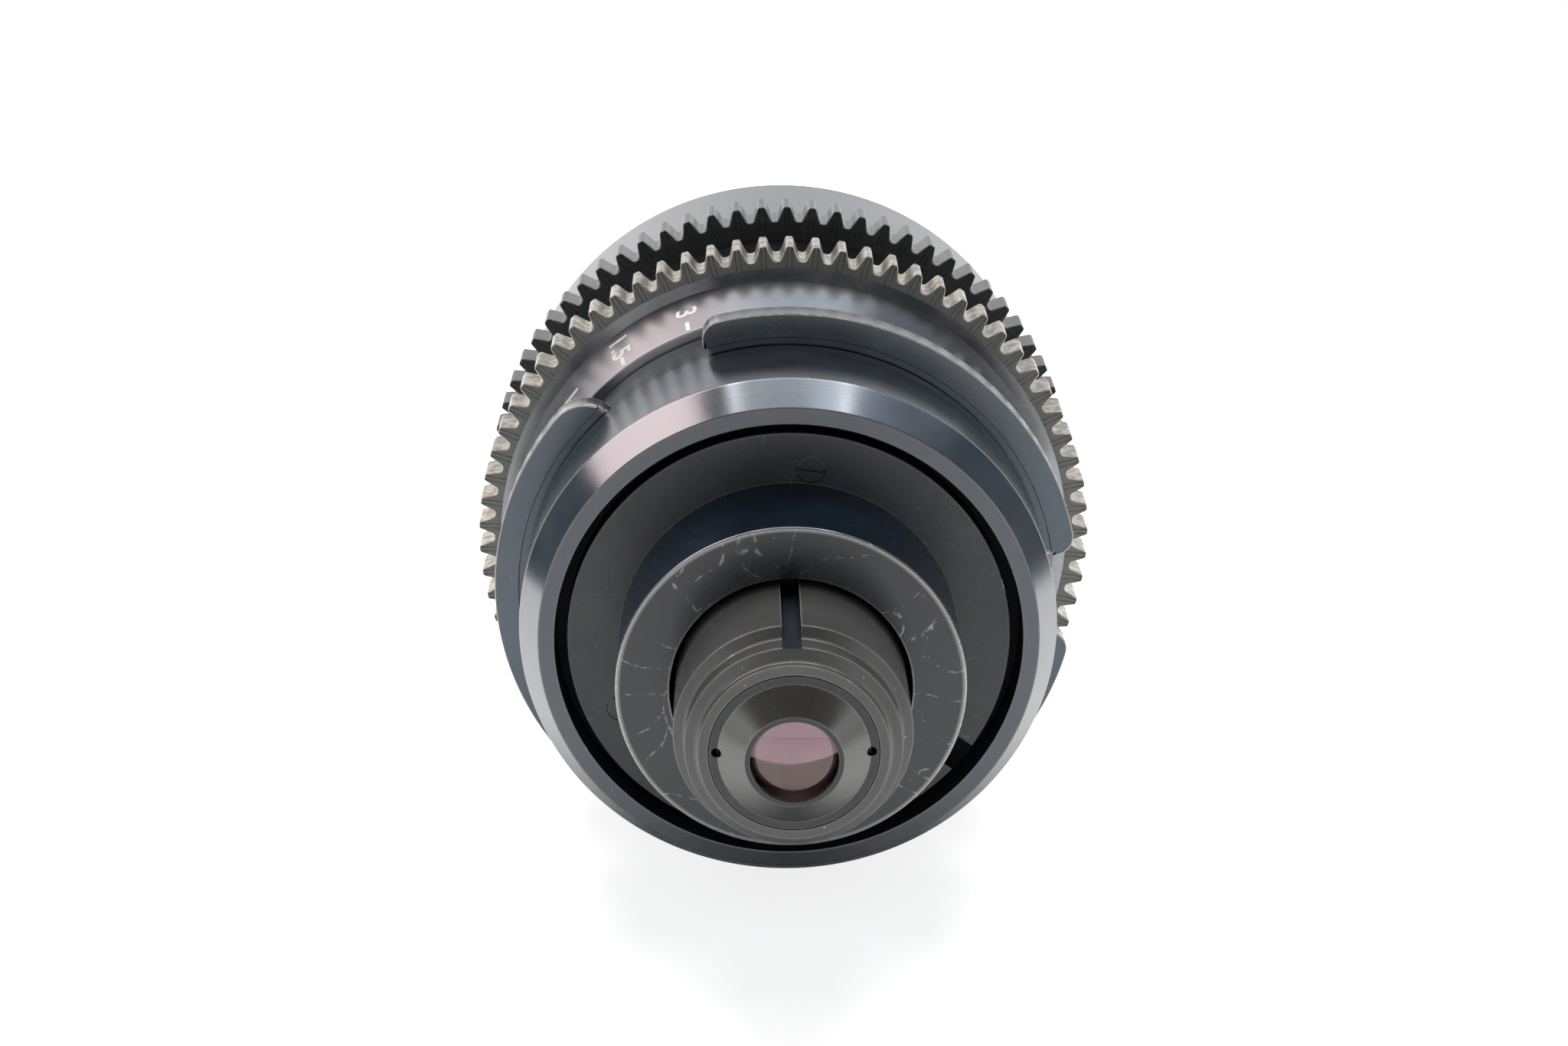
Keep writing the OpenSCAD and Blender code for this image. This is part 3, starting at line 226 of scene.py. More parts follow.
def mesh_of(name, patches, caps=()):
    """Welds grids of points into one mesh. A patch is a grid, its edge weights and the number of its finish;
    a cap is a closed loop of points that becomes one flat face. Faces that fold to a line are dropped."""
    points, weights, quads, kinds, start = [], [], [], [], 0
    for grid, weight, kind in patches:
        m, n = grid.shape[:2]
        index = start + np.arange(m * n).reshape(m, n)
        quads.append(np.stack([index[:-1, :-1], index[1:, :-1], index[1:, 1:], index[:-1, 1:]], -1).reshape(-1, 4))
        kinds.append(np.broadcast_to(kind, (m - 1, n - 1)).ravel())
        points.append(grid.reshape(-1, 3))
        weights.append(np.broadcast_to(weight, (m, n)).ravel())
        start += m * n
    loops = []
    for loop in caps:
        loops.append(start + np.arange(len(loop)))
        points.append(loop)
        weights.append(np.zeros(len(loop)))
        start += len(loop)
    points, weights = np.concatenate(points), np.concatenate(weights)
    keys = np.round(points / WELD).astype(np.int64)
    _, first, back = np.unique(keys, axis=0, return_index=True, return_inverse=True)
    back = back.ravel()
    quads, kinds = back[np.concatenate(quads)], np.concatenate(kinds)
    same = quads == np.roll(quads, -1, 1)
    whole, folded = same.sum(1) == 0, same.sum(1) == 1
    triangles = quads[folded][~same[folded]].reshape(-1, 3)
    faces = quads[whole].tolist() + triangles.tolist() + [back[loop].tolist() for loop in loops]
    mesh = bpy.data.meshes.new(name)
    mesh.from_pydata(points[first].tolist(), [], faces)
    kinds = np.r_[kinds[whole], kinds[folded], np.zeros(len(loops), int)].astype(np.int32)
    mesh.polygons.foreach_set("material_index", kinds)
    edge = mesh.attributes.new("edge", "FLOAT", "POINT")
    edge.data.foreach_set("value", weights[first].astype(np.float32))
    mesh.update()
    mesh.shade_smooth()
    mesh.set_sharp_from_angle(angle=SHARP)
    return mesh


def placed(name, data):
    """New object that stands in the scene."""
    made = bpy.data.objects.new(name, data)
    bpy.context.scene.collection.objects.link(made)
    return made


# By default the faces that cutters leave take the flat black finish, which is painted shade in holes and grooves
def piece_of(name, mesh, finishes, body, nodes=(), cutters=(), inside="flat black"):
    """Object at the origin that rides on a body; closed cutters are taken out of its mesh first, and the faces they
    leave get the finish inside."""
    piece = placed(name, mesh)
    for finish in finishes:
        mesh.materials.append(bpy.data.materials[finish])
    if cutters:
        tools = [placed("cutter", cutter) for cutter in cutters]
        for tool in tools:
            tool.data.materials.append(bpy.data.materials[inside])
            step = piece.modifiers.new("cut", "BOOLEAN")
            step.operation, step.solver, step.object = "DIFFERENCE", "MANIFOLD", tool
        graph = bpy.context.evaluated_depsgraph_get()
        result = bpy.data.meshes.new_from_object(piece.evaluated_get(graph), preserve_all_data_layers=True,
                                                 depsgraph=graph)
        piece.modifiers.clear()
        piece.data = result
        result.name = name
        bpy.data.meshes.remove(mesh)
        for tool in tools:
            shape = tool.data
            bpy.data.objects.remove(tool)
            bpy.data.meshes.remove(shape)
        result.shade_smooth()
        result.set_sharp_from_angle(angle=SHARP)
    if not len(piece.data.polygons):
        raise RuntimeError(f"{name} came out empty")
    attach(piece, body)
    if nodes:
        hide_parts(*nodes)


def turned_piece(name, corners, finishes, body, nodes=(), cutters=(), kinds=0):
    """Closed ring: a section with broken corners carried round the optical axis. A corner is its radius, its
    station and its break."""
    grid, weight = lathe(*softened(corners))
    piece_of(name, mesh_of(name, [(grid, weight, kinds)]), finishes, body, nodes, cutters)


def glass_section(top_y, flat_y, curve, radius, way, steps):
    """Section of a glass with one flat face: the arc y = top_y - way (curve - sqrt(curve^2 - r^2)) from the axis to
    the rim, then the rim and the flat. The way is 1 for a glass that bulges to the front, -1 for one to the rear."""
    r = np.linspace(0, radius, steps)
    y = top_y - way * (curve - np.sqrt(curve ** 2 - r ** 2))
    return np.concatenate([np.stack([r, y], -1), [[radius, flat_y], [0, flat_y]]])[::-way]


def side_rows(corners, sides, value):
    """Finish number of each row of a section: value between corner k and the next, for each k in sides, else 0."""
    q = STEPS + 2
    rows = np.arange(len(corners) * q)
    owner = ((rows - q // 2) // q) % len(corners)
    return np.where(np.isin(owner, sides), value, 0)[:, None]


def rod(radius, near, far, origin, side, axis, columns=48):
    """Closed round rod: a rectangle turned about its own axis, then carried to its place."""
    points = np.array([[0, near], [radius, near], [radius, far], [0, far]])
    grid, weight = lathe(points, np.zeros(4), columns)
    return mesh_of("rod", [(moved(grid, origin, side, axis), weight, 0)])


def block(a, near, far, y0, y1, width):
    """Closed block that stands out along the radius at the angle a: a square section carried outward."""
    out, across = out_at(a), out_at(a + TURN / 4)
    corners = np.array([[-1, y0], [1, y0], [1, y1], [-1, y1], [-1, y0]])
    loop = corners[:, :1] * width / 2 * across + corners[:, 1:] * np.array([0, 1.0, 0])
    grid = np.stack([loop + near * out, loop + far * out])
    return mesh_of("block", [(grid, 0, 0)], [grid[0, :-1], grid[1, :-1][::-1]])


def node(tree, kind, inputs=None, out=0, **settings):
    """Adds a shader node, sets its fields, fills its sockets with values or links, and gives one of its outputs."""
    made = tree.nodes.new("ShaderNode" + kind)
    for field, value in settings.items():
        setattr(made, field, value)
    for key, value in (inputs or {}).items():
        if isinstance(value, bpy.types.NodeSocket):
            tree.links.new(value, made.inputs[key])
        else:
            made.inputs[key].default_value = value
    return made.outputs[out] if made.outputs else None


def new_tree(name):
    """Empty node tree of a new material."""
    material = bpy.data.materials.new(name)
    material.use_nodes = True
    material.node_tree.nodes.clear()
    return material.node_tree


def metal_finish(name, base, roughness, worn, wear=0.24, pitch=0.25, groove=0.05, turned=0.6, spread=0.05,
                 dust=0.02, scratch=0.0, level=0.5, metallic=1.0, grime=0.0, edge_rub_and_highlight=0.1):
    """Dyed or bare metal as it comes off a lathe. Fine rings at the pitch (mm) run round the axis, the gloss
    varies in cloudy patches, the colour gives way to the worn metal on edges and to grime in blots, a pale line on
    every edge is partly rubbed metal and partly a painted highlight, and dust and hair scratches lie on top. Real
    rings lie about 0.05 mm apart, too fine to show, so they are drawn coarser."""
    tree = new_tree(name)
    place = node(tree, "TexCoord", out="Object")
    across = node(tree, "VectorMath", {0: place, 1: (1, 0, 1)}, operation="MULTIPLY")
    radius = node(tree, "VectorMath", {0: across}, "Value", operation="LENGTH")
    station = node(tree, "SeparateXYZ", {0: place}, "Y")
    along = node(tree, "Math", {0: radius, 1: station}, operation="ADD")
    rings = node(tree, "TexNoise", {"W": along, "Scale": 1 / (pitch * MM), "Detail": 2.0}, noise_dimensions="1D")
    cloud = node(tree, "TexNoise", {"Vector": place, "Scale": 1 / CLOUD, "Detail": 5.0, "Roughness": 0.6})
    gloss = node(tree, "MapRange", {"Value": cloud, "From Min": 0.3, "From Max": 0.7,
                                    "To Min": roughness - spread, "To Max": roughness + spread})
    chips = node(tree, "TexNoise", {"Vector": place, "Scale": 1 / CHIP, "Detail": 4.0, "Roughness": 0.65})
    edge = node(tree, "Attribute", out="Fac", attribute_name="edge")
    patchy = node(tree, "Math", {0: chips, 1: cloud}, operation="ADD")
    patchy = node(tree, "Math", {0: edge, 1: wear, 2: patchy}, operation="MULTIPLY_ADD")
    bare = node(tree, "MapRange", {"Value": patchy, "From Min": 1.4, "From Max": 1.54},
                interpolation_type="SMOOTHSTEP")
    bare = node(tree, "Math", {0: bare, 1: edge}, operation="MULTIPLY", use_clamp=True)
    # Painted highlight, partly real rubbing: a pale line along every broken edge, as strong as the edge weight times
    # its share
    rubbed = node(tree, "Math", {0: edge, 1: edge_rub_and_highlight}, operation="MULTIPLY", use_clamp=True)
    lint = node(tree, "TexVoronoi", {"Vector": place, "Scale": 1 / SPECK}, "Distance")
    lint = node(tree, "MapRange", {"Value": lint, "From Min": dust, "From Max": dust * 1.6, "To Min": 0.8,
                                   "To Max": 0.0})
    if scratch:
        bent = node(tree, "TexNoise", {"Vector": place, "Scale": 1 / BEND, "Detail": 1.0}, "Color")
        bent = node(tree, "VectorMath", {0: bent, 1: (SWAY, SWAY, SWAY), 2: place}, operation="MULTIPLY_ADD")
        hair = node(tree, "TexVoronoi", {"Vector": bent, "Scale": 1 / HAIR}, "Distance", feature="DISTANCE_TO_EDGE")
        hair = node(tree, "MapRange", {"Value": hair, "From Min": 0.004, "From Max": 0.016, "To Min": scratch,
                                       "To Max": 0.0})
        some = node(tree, "MapRange", {"Value": chips, "From Min": 0.48, "From Max": 0.62})
        hair = node(tree, "Math", {0: hair, 1: some}, operation="MULTIPLY")
        lint = node(tree, "Math", {0: lint, 1: hair}, operation="MAXIMUM")
    darker, lighter = (tuple(share * v for v in base[:3]) + (1,) for share in (0.8, 1.2))
    shade = node(tree, "Mix", {0: cloud, 6: darker, 7: lighter}, 2, data_type="RGBA")
    for share, tint in ((lint, DUST), (rubbed, RUB_AND_EDGE_HIGHLIGHT), (bare, tuple(worn))):
        shade = node(tree, "Mix", {0: share, 6: shade, 7: tint}, 2, data_type="RGBA")
    if grime:
        blot = node(tree, "MapRange", {"Value": chips, "From Min": 0.42, "From Max": 0.6, "To Min": grime,
                                       "To Max": 0.0}, interpolation_type="SMOOTHSTEP")
        shade = node(tree, "Mix", {0: blot, 6: shade, 7: GREASE}, 2, data_type="RGBA")
    bump = node(tree, "Bump", {"Height": rings, "Strength": groove, "Distance": 0.02 * MM})
    # Bare spots are scuffed, so they scatter light and mirror less
    metal, scuffed = metallic, 0.35
    if wear:
        metal = node(tree, "Math", {0: bare, 1: scuffed - metallic, 2: metallic}, operation="MULTIPLY_ADD")
    tangent = node(tree, "Tangent", direction_type="RADIAL", axis="Y")
    shader = node(tree, "BsdfPrincipled", {
        "Base Color": shade, "Roughness": gloss, "Normal": bump, "Anisotropic": turned, "Anisotropic Rotation": 0.25,
        "Specular IOR Level": level, "Metallic": metal, "Tangent": tangent})
    node(tree, "OutputMaterial", {"Surface": shader})


class LENS_OT_finishes(bpy.types.Operator):
    """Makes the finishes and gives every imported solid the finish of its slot."""
    bl_idname = "lens.finishes"
    bl_label = "Finishes"

    def execute(self, context):
        c = context.scene.lens_colours
        # Black anodised aluminium, turned: dark metal with a sheen drawn out across the turning rings
        metal_finish("black anodised aluminium", linear("#7c8187"), 0.2, c.worn)
        # The same on the wings, whose ends the camera's locking ring has rubbed to bare metal
        metal_finish("worn anodised aluminium", c.anodised, 0.26, c.worn, wear=0.32, turned=0.3, edge_rub_and_highlight=0.65)
        # The same on the lead-in taper, rubbed brighter by the camera's throat
        metal_finish("rubbed anodised aluminium", linear("#a0a2a5"), 0.24, c.worn, wear=0.2, groove=0.12)
        # Flat end ring, lapped: an even grey gloss
        metal_finish("lapped anodised aluminium", linear("#616468"), 0.3, c.worn, wear=0.2, groove=0.04, turned=0.3)
        # Satin anodised aluminium of the distance scale: dark, with a wide soft sheen
        metal_finish("satin anodised aluminium", linear("#a4a6a9"), 0.36, c.worn, turned=0.0, groove=0.04)
        # Glossier anodised aluminium of the bezel's cone and the far teeth: near black, with a clean sheen
        metal_finish("glossy anodised aluminium", linear("#7a7a79"), 0.25, c.worn, turned=0.0, dust=0.035)
        # Blasted anodised aluminium of the front housing: even mid grey where light grazes it
        metal_finish("blasted anodised aluminium", linear("#bcbec1"), 0.42, c.worn, turned=0.0, groove=0.03)
        # Matte anodised aluminium: soft dark grey
        metal_finish("matte anodised aluminium", c.matte, 0.36, c.worn, wear=0.2, pitch=0.4, turned=0.3, scratch=0.12,
                     level=0.75, groove=0.06, metallic=0.0, spread=0.09)
        # Side of the snout: near black with a cold blue sheen
        metal_finish("blue-black anodised aluminium", linear("#4d6c8c"), 0.26, c.worn, wear=0.3, turned=0.3,
                     edge_rub_and_highlight=0.65)
        # End disc of the snout: dark metal full of hair scratches from handling
        metal_finish("scratched anodised aluminium", linear("#4c4e50"), 0.28, c.worn, wear=0.3, pitch=0.4, turned=0.3,
                     scratch=0.6, edge_rub_and_highlight=0.75, spread=0.08)
        # Painted shade: flat black on the faces in grooves, holes and the keyway, so that hardly any light comes back
        # from these recesses
        metal_finish("flat black", linear("#192026"), 0.7, c.worn, wear=0.0, turned=0.0, groove=0.0, level=0.2,
                     metallic=0.0, edge_rub_and_highlight=0.0, dust=0.01)
        # Blackened brass: dark satin that wears to gold on its edges
        metal_finish("blackened brass", c.tube, 0.22, c.brass, wear=0.27, pitch=0.3, turned=0.4, groove=0.2,
                     edge_rub_and_highlight=0.26, level=1.0, metallic=0.0, dust=0.035)
        # Dyed face of the gears: dull black under a film of dust
        metal_finish("dusty anodised aluminium", linear("#8a8b87"), 0.42, c.cut, wear=0.22, dust=0.04, turned=0.2,
                     level=0.6, metallic=0.0, groove=0.1)
        # Gear teeth rubbed through the dye: bare cream-grey metal with old grease in blots
        metal_finish("cut aluminium", c.cut, 0.36, c.cut, wear=0.0, turned=0.0, grime=0.45)
        # Blued steel of screws and pins: dark, with a dull shine
        metal_finish("blued steel", linear("#3a3b3e"), 0.35, c.worn, wear=0.2, turned=0.2, groove=0.1)
        # Bare brass inside: warm gold
        metal_finish("bare brass", linear("#b8924f"), 0.33, c.brass, wear=0.0, turned=0.5, groove=0.1)
        # Blackened steel of the blades: flat and dark
        metal_finish("blackened blade steel", linear("#2e2e30"), 0.5, c.worn, wear=0.1, turned=0.0, groove=0.02,
                     metallic=0.0)
        # Scale paint: filled into the engraving, flat white, a little dirty
        tree = new_tree("white scale paint")
        place = node(tree, "TexCoord", out="Object")
        dirt = node(tree, "TexNoise", {"Vector": place, "Scale": 1 / (0.5 * MM), "Detail": 3.0})
        shade = node(tree, "Mix", {0: dirt, 6: tuple(c.paint), 7: linear("#d9d6cd")}, 2, data_type="RGBA")
        shader = node(tree, "BsdfPrincipled", {"Base Color": shade, "Roughness": 0.6})
        node(tree, "OutputMaterial", {"Surface": shader})
        # Coated glass: clear, with only a faint violet gleam left of its reflections; the last glass sends back rose
        # light from its outer face and mauve light from its inner one, and the glass behind it amber light
        for name, coating, share, gleam in (
                ("coated glass", c.clear, 0.0, "#4c475f"), ("rose coated glass", c.amber, 0.1, "#ffffff"),
                ("mauve coated glass", c.coating, 0.33, "#ffffff"), ("amber coated glass", c.amber, 0.4, "#ffffff")):
            tree = new_tree(name)
            place = node(tree, "TexCoord", out="Object")
            film = node(tree, "TexNoise", {"Vector": place, "Scale": 1 / (3 * MM), "Detail": 3.0})
            smear = node(tree, "MapRange", {"Value": film, "To Min": 0.0, "To Max": 0.04})
            shader = node(tree, "BsdfPrincipled", {
                "Base Color": tuple(coating), "Roughness": smear, "Transmission Weight": 1.0, "IOR": 1.6,
                "Metallic": share, "Specular Tint": linear(gleam)})
            node(tree, "OutputMaterial", {"Surface": shader})
        by_slot = {
            "anodised_black": "black anodised aluminium", "matte_black": "matte anodised aluminium",
            "gear_metal": "cut aluminium", "bare_brass": "bare brass", "blackened_brass": "blackened brass",
            "screw_steel": "blued steel", "blade_steel": "blackened blade steel", "coated_glass": "coated glass"}
        for part in frame["record"]["subparts"]:
            solid = frame["nodes"][part["node"]]
            for place in solid.material_slots:
                place.material = bpy.data.materials[by_slot[part["material_slot"]]]
        # Two solids look unlike the rest of their slot: the glass behind the last one, and the iris's cam ring, which
        # is blackened because the front glass shows it
        for name, finish in (("rear_mid_element", "amber coated glass"), ("iris_cam_ring", "blackened brass")):
            frame["nodes"][name].material_slots[0].material = bpy.data.materials[finish]
        return {"FINISHED"}


def wing_outline(s, low, high, foot):
    """Outline of a wing between two gaps, counterclockwise in X and Z. A gap is its angle, half width and the
    corner radius of the side that bounds the wing. The line goes out along the low gap's side, round a corner
    circle that touches side and rim, along the rim, round the other corner, in along the high gap's side and
    back along a circle of the radius foot. Outlines with another foot have the same points above the relief."""
    rim, relief = s.wing, s.spigot + RELIEF
    dense = 400

    def corner(gap, way):
        g, h, c = gap
        rise = math.sqrt((rim - c) ** 2 - (h + c) ** 2)
        t = np.linspace(math.atan2(rise, h + c), math.pi, dense)
        u = np.r_[h + c + c * np.cos(t), np.full(dense, h)]
        v = np.r_[rise + c * np.sin(t), np.linspace(rise, 0.8 * rise, dense)]
        reach = np.hypot(u, v)
        pick = np.r_[np.linspace(0, np.flatnonzero(reach >= relief)[-1], CORNER_POINTS - 1),
                     np.flatnonzero(reach >= foot)[-1]].astype(int)
        u, v = way * u[pick], v[pick]
        return np.stack([u * math.sin(g) + v * math.cos(g), -u * math.cos(g) + v * math.sin(g)], -1)

    start, stop = corner(low, -1)[::-1], corner(high, 1)
    a0, a1 = math.atan2(*start[-1][::-1]), math.atan2(*stop[0][::-1])
    a = np.linspace(a0, a1 + (TURN if a1 < a0 else 0), RIM_POINTS + 2)[1:-1]
    b0, b1 = math.atan2(*stop[-1][::-1]), math.atan2(*start[0][::-1])
    b = np.linspace(b0, b1 - (TURN if b1 > b0 else 0), FOOT_POINTS + 2)[1:-1]
    return np.concatenate([start, rim * np.stack([np.cos(a), np.sin(a)], -1), stop,
                           foot * np.stack([np.cos(b), np.sin(b)], -1)])


def inset(outline, depth):
    """Closed outline moved inward: each point goes along the left normal of the chord between its neighbours."""
    ahead = np.roll(outline, -1, 0) - np.roll(outline, 1, 0)
    ahead = ahead / np.maximum(np.linalg.norm(ahead, axis=1, keepdims=True), TINY)
    return outline + depth * np.stack([-ahead[:, 1], ahead[:, 0]], -1)


def clear_of(outline, radius):
    """Outline whose points inside the radius are moved out to it."""
    reach = np.linalg.norm(outline, axis=1, keepdims=True)
    return outline * np.maximum(1, radius / reach)


def wing_patch(s, low, high):
    """Wing with broken edges: a section of inset and station is carried round the outline. Its rear part stands on
    the relief circle, the rest on the neck, and two flat caps close it."""
    soft, deep, into_neck = 0.11 * MM, 0.3 * MM, 0.15 * MM
    rear, rear_weight = softened([[2.5 * soft, 0, 0], [0, 0, soft], [0, deep, 0]], closed=False)
    front, front_weight = softened([[0, deep, 0], [0, s.wing_t, soft], [2.5 * soft, s.wing_t, 0]], closed=False)
    relief, foot = s.spigot + RELIEF, s.neck - into_neck
    upper, lower = wing_outline(s, low, high, relief), wing_outline(s, low, high, foot)
    rows = [(clear_of(inset(upper, d), relief + d), y) for d, y in rear]
    rows += [(clear_of(inset(lower, d), foot + d), y) for d, y in front]
    grid = np.stack([np.stack([row[:, 0], np.full(len(row), y), row[:, 1]], -1) for row, y in rows])
    grid = np.concatenate([grid, grid[:, :1]], 1)
    # Ends of a wing are rubbed most, rim less, foot least; the painted edge highlight follows suit; flat faces keep
    # their dye
    counts = [CORNER_POINTS, RIM_POINTS, CORNER_POINTS, FOOT_POINTS, 1]
    rub = np.repeat([3.0, 1.3, 3.0, 0.4, 3.0], counts)
    wall = np.repeat([1.6, 0.8, 1.6, 0.0, 1.6], counts)
    on_wall = np.repeat([0, 0, 1, 1, 0, 0], STEPS + 2)[:, None]
    weight = np.maximum(np.r_[rear_weight, front_weight][:, None] * rub, on_wall * wall)
    return (grid, weight, 0), [grid[0, :-1], grid[-1, :-1][::-1]]


class LENS_OT_mount(bpy.types.Operator):
    """Spigot with its taper and end ring, neck, and three wings with worn edges."""
    bl_idname = "lens.mount"
    bl_label = "Bayonet mount"

    def execute(self, context):
        s = context.scene.lens_sizes
        end_y, taper_y, neck_y, hub = -12 * MM, -9.15 * MM, 7 * MM, 14.58 * MM
        body = [[s.bore, end_y, 0.12 * MM], [s.face, end_y, 0.1 * MM], [s.spigot, taper_y, 0.12 * MM],
                [s.spigot, 0, 0.06 * MM], [s.neck, 0, 0.06 * MM], [s.neck, neck_y, 0.15 * MM],
                [hub, neck_y, FINE], [hub, SEAT_Y, FINE], [s.bore, SEAT_Y, FINE]]
        # The seat face and the bore, down in the groove round the sleeve, take the flat black of painted shade
        kinds = side_rows(body, [1], 1) + side_rows(body, [0], 2) + side_rows(body, [7, 8], 3)
        turned_piece("mount_spigot", body, ["black anodised aluminium", "rubbed anodised aluminium",
                                            "lapped anodised aluminium", "flat black"], "barrel",
                     ["bayonet_mount"], kinds=kinds)
        # One gap is wider than the other two, and the wing after it has a longer corner that leads it in
        wide, narrow = s.spigot * math.sin(math.radians(12.4)), s.spigot * math.sin(math.radians(9.3))
        first, step = math.radians(119.6), TURN / 3
        gaps = [(first, wide), (first + step, narrow), (first - step, narrow)]
        short, lead = 1.8 * MM, 3.4 * MM
        ends = [((*gaps[2], short), (*gaps[0], short)), ((*gaps[0], lead), (*gaps[1], short)),
                ((*gaps[1], short), (*gaps[2], short))]
        for number, (low, high) in enumerate(ends, 1):
            patch, caps = wing_patch(s, low, high)
            piece_of(f"mount_wing_{number}", mesh_of("wing", [patch], caps), ["worn anodised aluminium"], "barrel")
        return {"FINISHED"}


class LENS_OT_sleeve(bpy.types.Operator):
    """Fixed sleeve: flange with a spanner notch and three flush slotted screws, snout and end disc."""
    bl_idname = "lens.sleeve"
    bl_label = "Rear sleeve"

    def execute(self, context):
        s = context.scene.lens_sizes
        disc_y, disc_in_y, stub, wall = -21.53 * MM, -19.53 * MM, 14.55 * MM, 13.5 * MM
        section = [[s.hole, disc_y, 0.1 * MM], [s.snout, disc_y, 0.22 * MM], [s.snout, FLANGE_Y, FINE],
                   [s.flange, FLANGE_Y, 0.12 * MM], [s.flange, SEAT_Y, FINE], [stub, SEAT_Y, 0],
                   [stub, SLEEVE_END_Y, FINE], [wall, SLEEVE_END_Y, FINE], [wall, disc_in_y, FINE],
                   [s.hole, disc_in_y, 0.1 * MM]]
        angles = np.radians([83.7, 203.7, 323.7])
        screw_r, head_r, head_y = 16.85 * MM, 1.3 * MM, -10.99 * MM
        places = [screw_r * out_at(a) for a in angles]
        # Cutters reach past both faces of the flange
        behind, ahead = -12 * MM, -8 * MM
        notch_a, notch_r, past_r, notch_w = math.radians(-36.3), 18.35 * MM, 22 * MM, 3 * MM
        cutters = [block(notch_a, notch_r, past_r, behind, ahead, notch_w)]
        cutters += [rod(head_r + 0.02 * MM, behind, ahead, p, out_at(a), (0, 1, 0)) for a, p in zip(angles, places)]
        # The flange's outer wall in the groove and the faces inside the snout take the flat black of painted shade,
        # as do the walls of the notch and of the screw holes
        kinds = side_rows(section, [0], 1) + side_rows(section, [3, 7, 8, 9], 2) + side_rows(section, [1], 3)
        turned_piece("rear_sleeve_shell", section, ["matte anodised aluminium", "scratched anodised aluminium",
                                                    "flat black", "blue-black anodised aluminium"], "barrel",
                     ["rear_sleeve"], cutters, kinds)
        grid, weight = lathe(*softened([[0, head_y, 0], [head_r, head_y, 0.09 * MM],
                                        [head_r, SLEEVE_END_Y, 0.1 * MM], [0, SLEEVE_END_Y, 0]]), 64)
        patches = [(moved(grid, p, out_at(a), (0, 1, 0)), weight, 0) for a, p in zip(angles, places)]
        half, floor_y, across = 0.21 * MM, -10.7 * MM, 6 * MM
        slots = [block(a, screw_r - half, screw_r + half, behind, floor_y, across) for a in angles]
        piece_of("flush_screws", mesh_of("screws", patches), ["matte anodised aluminium"], "barrel",
                 ["sleeve_screws"], slots, "matte anodised aluminium")
        return {"FINISHED"}


class LENS_OT_rear_tube(bpy.types.Operator):
    """Keyed sliding tube with a stepped end, the bezel with its two spanner holes, and the last glass."""
    bl_idname = "lens.rear_tube"
    bl_label = "Rear tube"

    def execute(self, context):
        s = context.scene.lens_sizes
        rim_y, glass_y, nut_y, end_y = -33.6 * MM, -29 * MM, 10.9 * MM, 15 * MM
        thread, rim, step, seat, bore, throat = 7.18 * MM, 8.1 * MM, 9.2 * MM, 8.28 * MM, 7.25 * MM, 5.8 * MM
        section = [[thread, rim_y, 0.08 * MM], [rim, rim_y, 0.09 * MM], [rim, -32.85 * MM, 0.2 * MM],
                   [step, -32.42 * MM, 0.07 * MM], [step, -30.57 * MM, 0.15 * MM], [s.tube, -30.14 * MM, 0.07 * MM],
                   [s.tube, nut_y, FINE], [step, nut_y, FINE], [step, end_y, FINE], [seat, end_y, FINE],
                   [seat, 0, FINE], [bore, 0, FINE], [bore, -26.5 * MM, FINE], [throat, -27.5 * MM, FINE],
                   [throat, glass_y, FINE], [thread, glass_y, FINE]]
        place, columns = math.radians(91.4), 720
        key_r, past_r, key_end_y = 9.1 * MM, 12 * MM, -11.53 * MM
        key = block(place, key_r, past_r, rim_y - MM, key_end_y, s.keyway)
        points, weight = softened(section)
        grid, weight = lathe(points, weight, columns)
        # The keyway's two edges are worn, and carry the painted edge highlight, as the steps are
        aside = np.abs(np.linspace(0, TURN, columns + 1) - place) * s.tube
        weight = np.maximum(weight, 0.9 * (aside < s.keyway / 2 + 0.1 * MM) * (points[:, :1] > step + 0.1 * MM))
        # The thread bore round the glass and the walls of the keyway take the flat black of painted shade
        piece_of("rear_tube_shell", mesh_of("rear_tube_shell", [(grid, weight, side_rows(section, [15], 1))]),
                 ["blackened brass", "flat black"], "carriage", ["rear_tube"], [key])
        lip_in, lip_y = 3.7 * MM, -35.2 * MM
        section = [[lip_in, lip_y, 0.06 * MM], [s.lip, lip_y, 0.06 * MM], [6.4 * MM, rim_y, 0.06 * MM],
                   [s.bezel, rim_y, 0.08 * MM], [s.bezel, -32.64 * MM, FINE], [lip_in, -34.79 * MM, FINE]]
        pin_r, pin_depth, pin_ring = 0.425 * MM, 0.7 * MM, 6.5 * MM
        holes = [rod(pin_r, rim_y - 2 * MM, rim_y + pin_depth, pin_ring * out_at(a), out_at(a), (0, 1, 0), 32)
                 for a in np.radians([2, 179])]
        # The bezel's outer wall in the gap to the tube, and its spanner holes, take the flat black of painted shade
        kinds = side_rows(section, [3], 1) + side_rows(section, [0, 2], 2)
        finishes = ["glossy anodised aluminium", "flat black", "matte anodised aluminium"]
        turned_piece("rear_bezel_ring", section, finishes, "carriage", ["rear_bezel"], holes, kinds)
        # The flat front of the glass is finish 1
        curve, top_y, glass_r = 10 * MM, -35.1 * MM, 7 * MM
        points = glass_section(top_y, glass_y, curve, glass_r, -1, 40)
        grid, weight = lathe(points, np.zeros(len(points)), 180)
        flat = (np.arange(len(points) - 1) == len(points) - 2).astype(int)[:, None]
        piece_of("rear_glass", mesh_of("rear_glass", [(grid, weight, flat)]),
                 ["rose coated glass", "mauve coated glass"], "carriage", ["rear_element"])
        return {"FINISHED"}


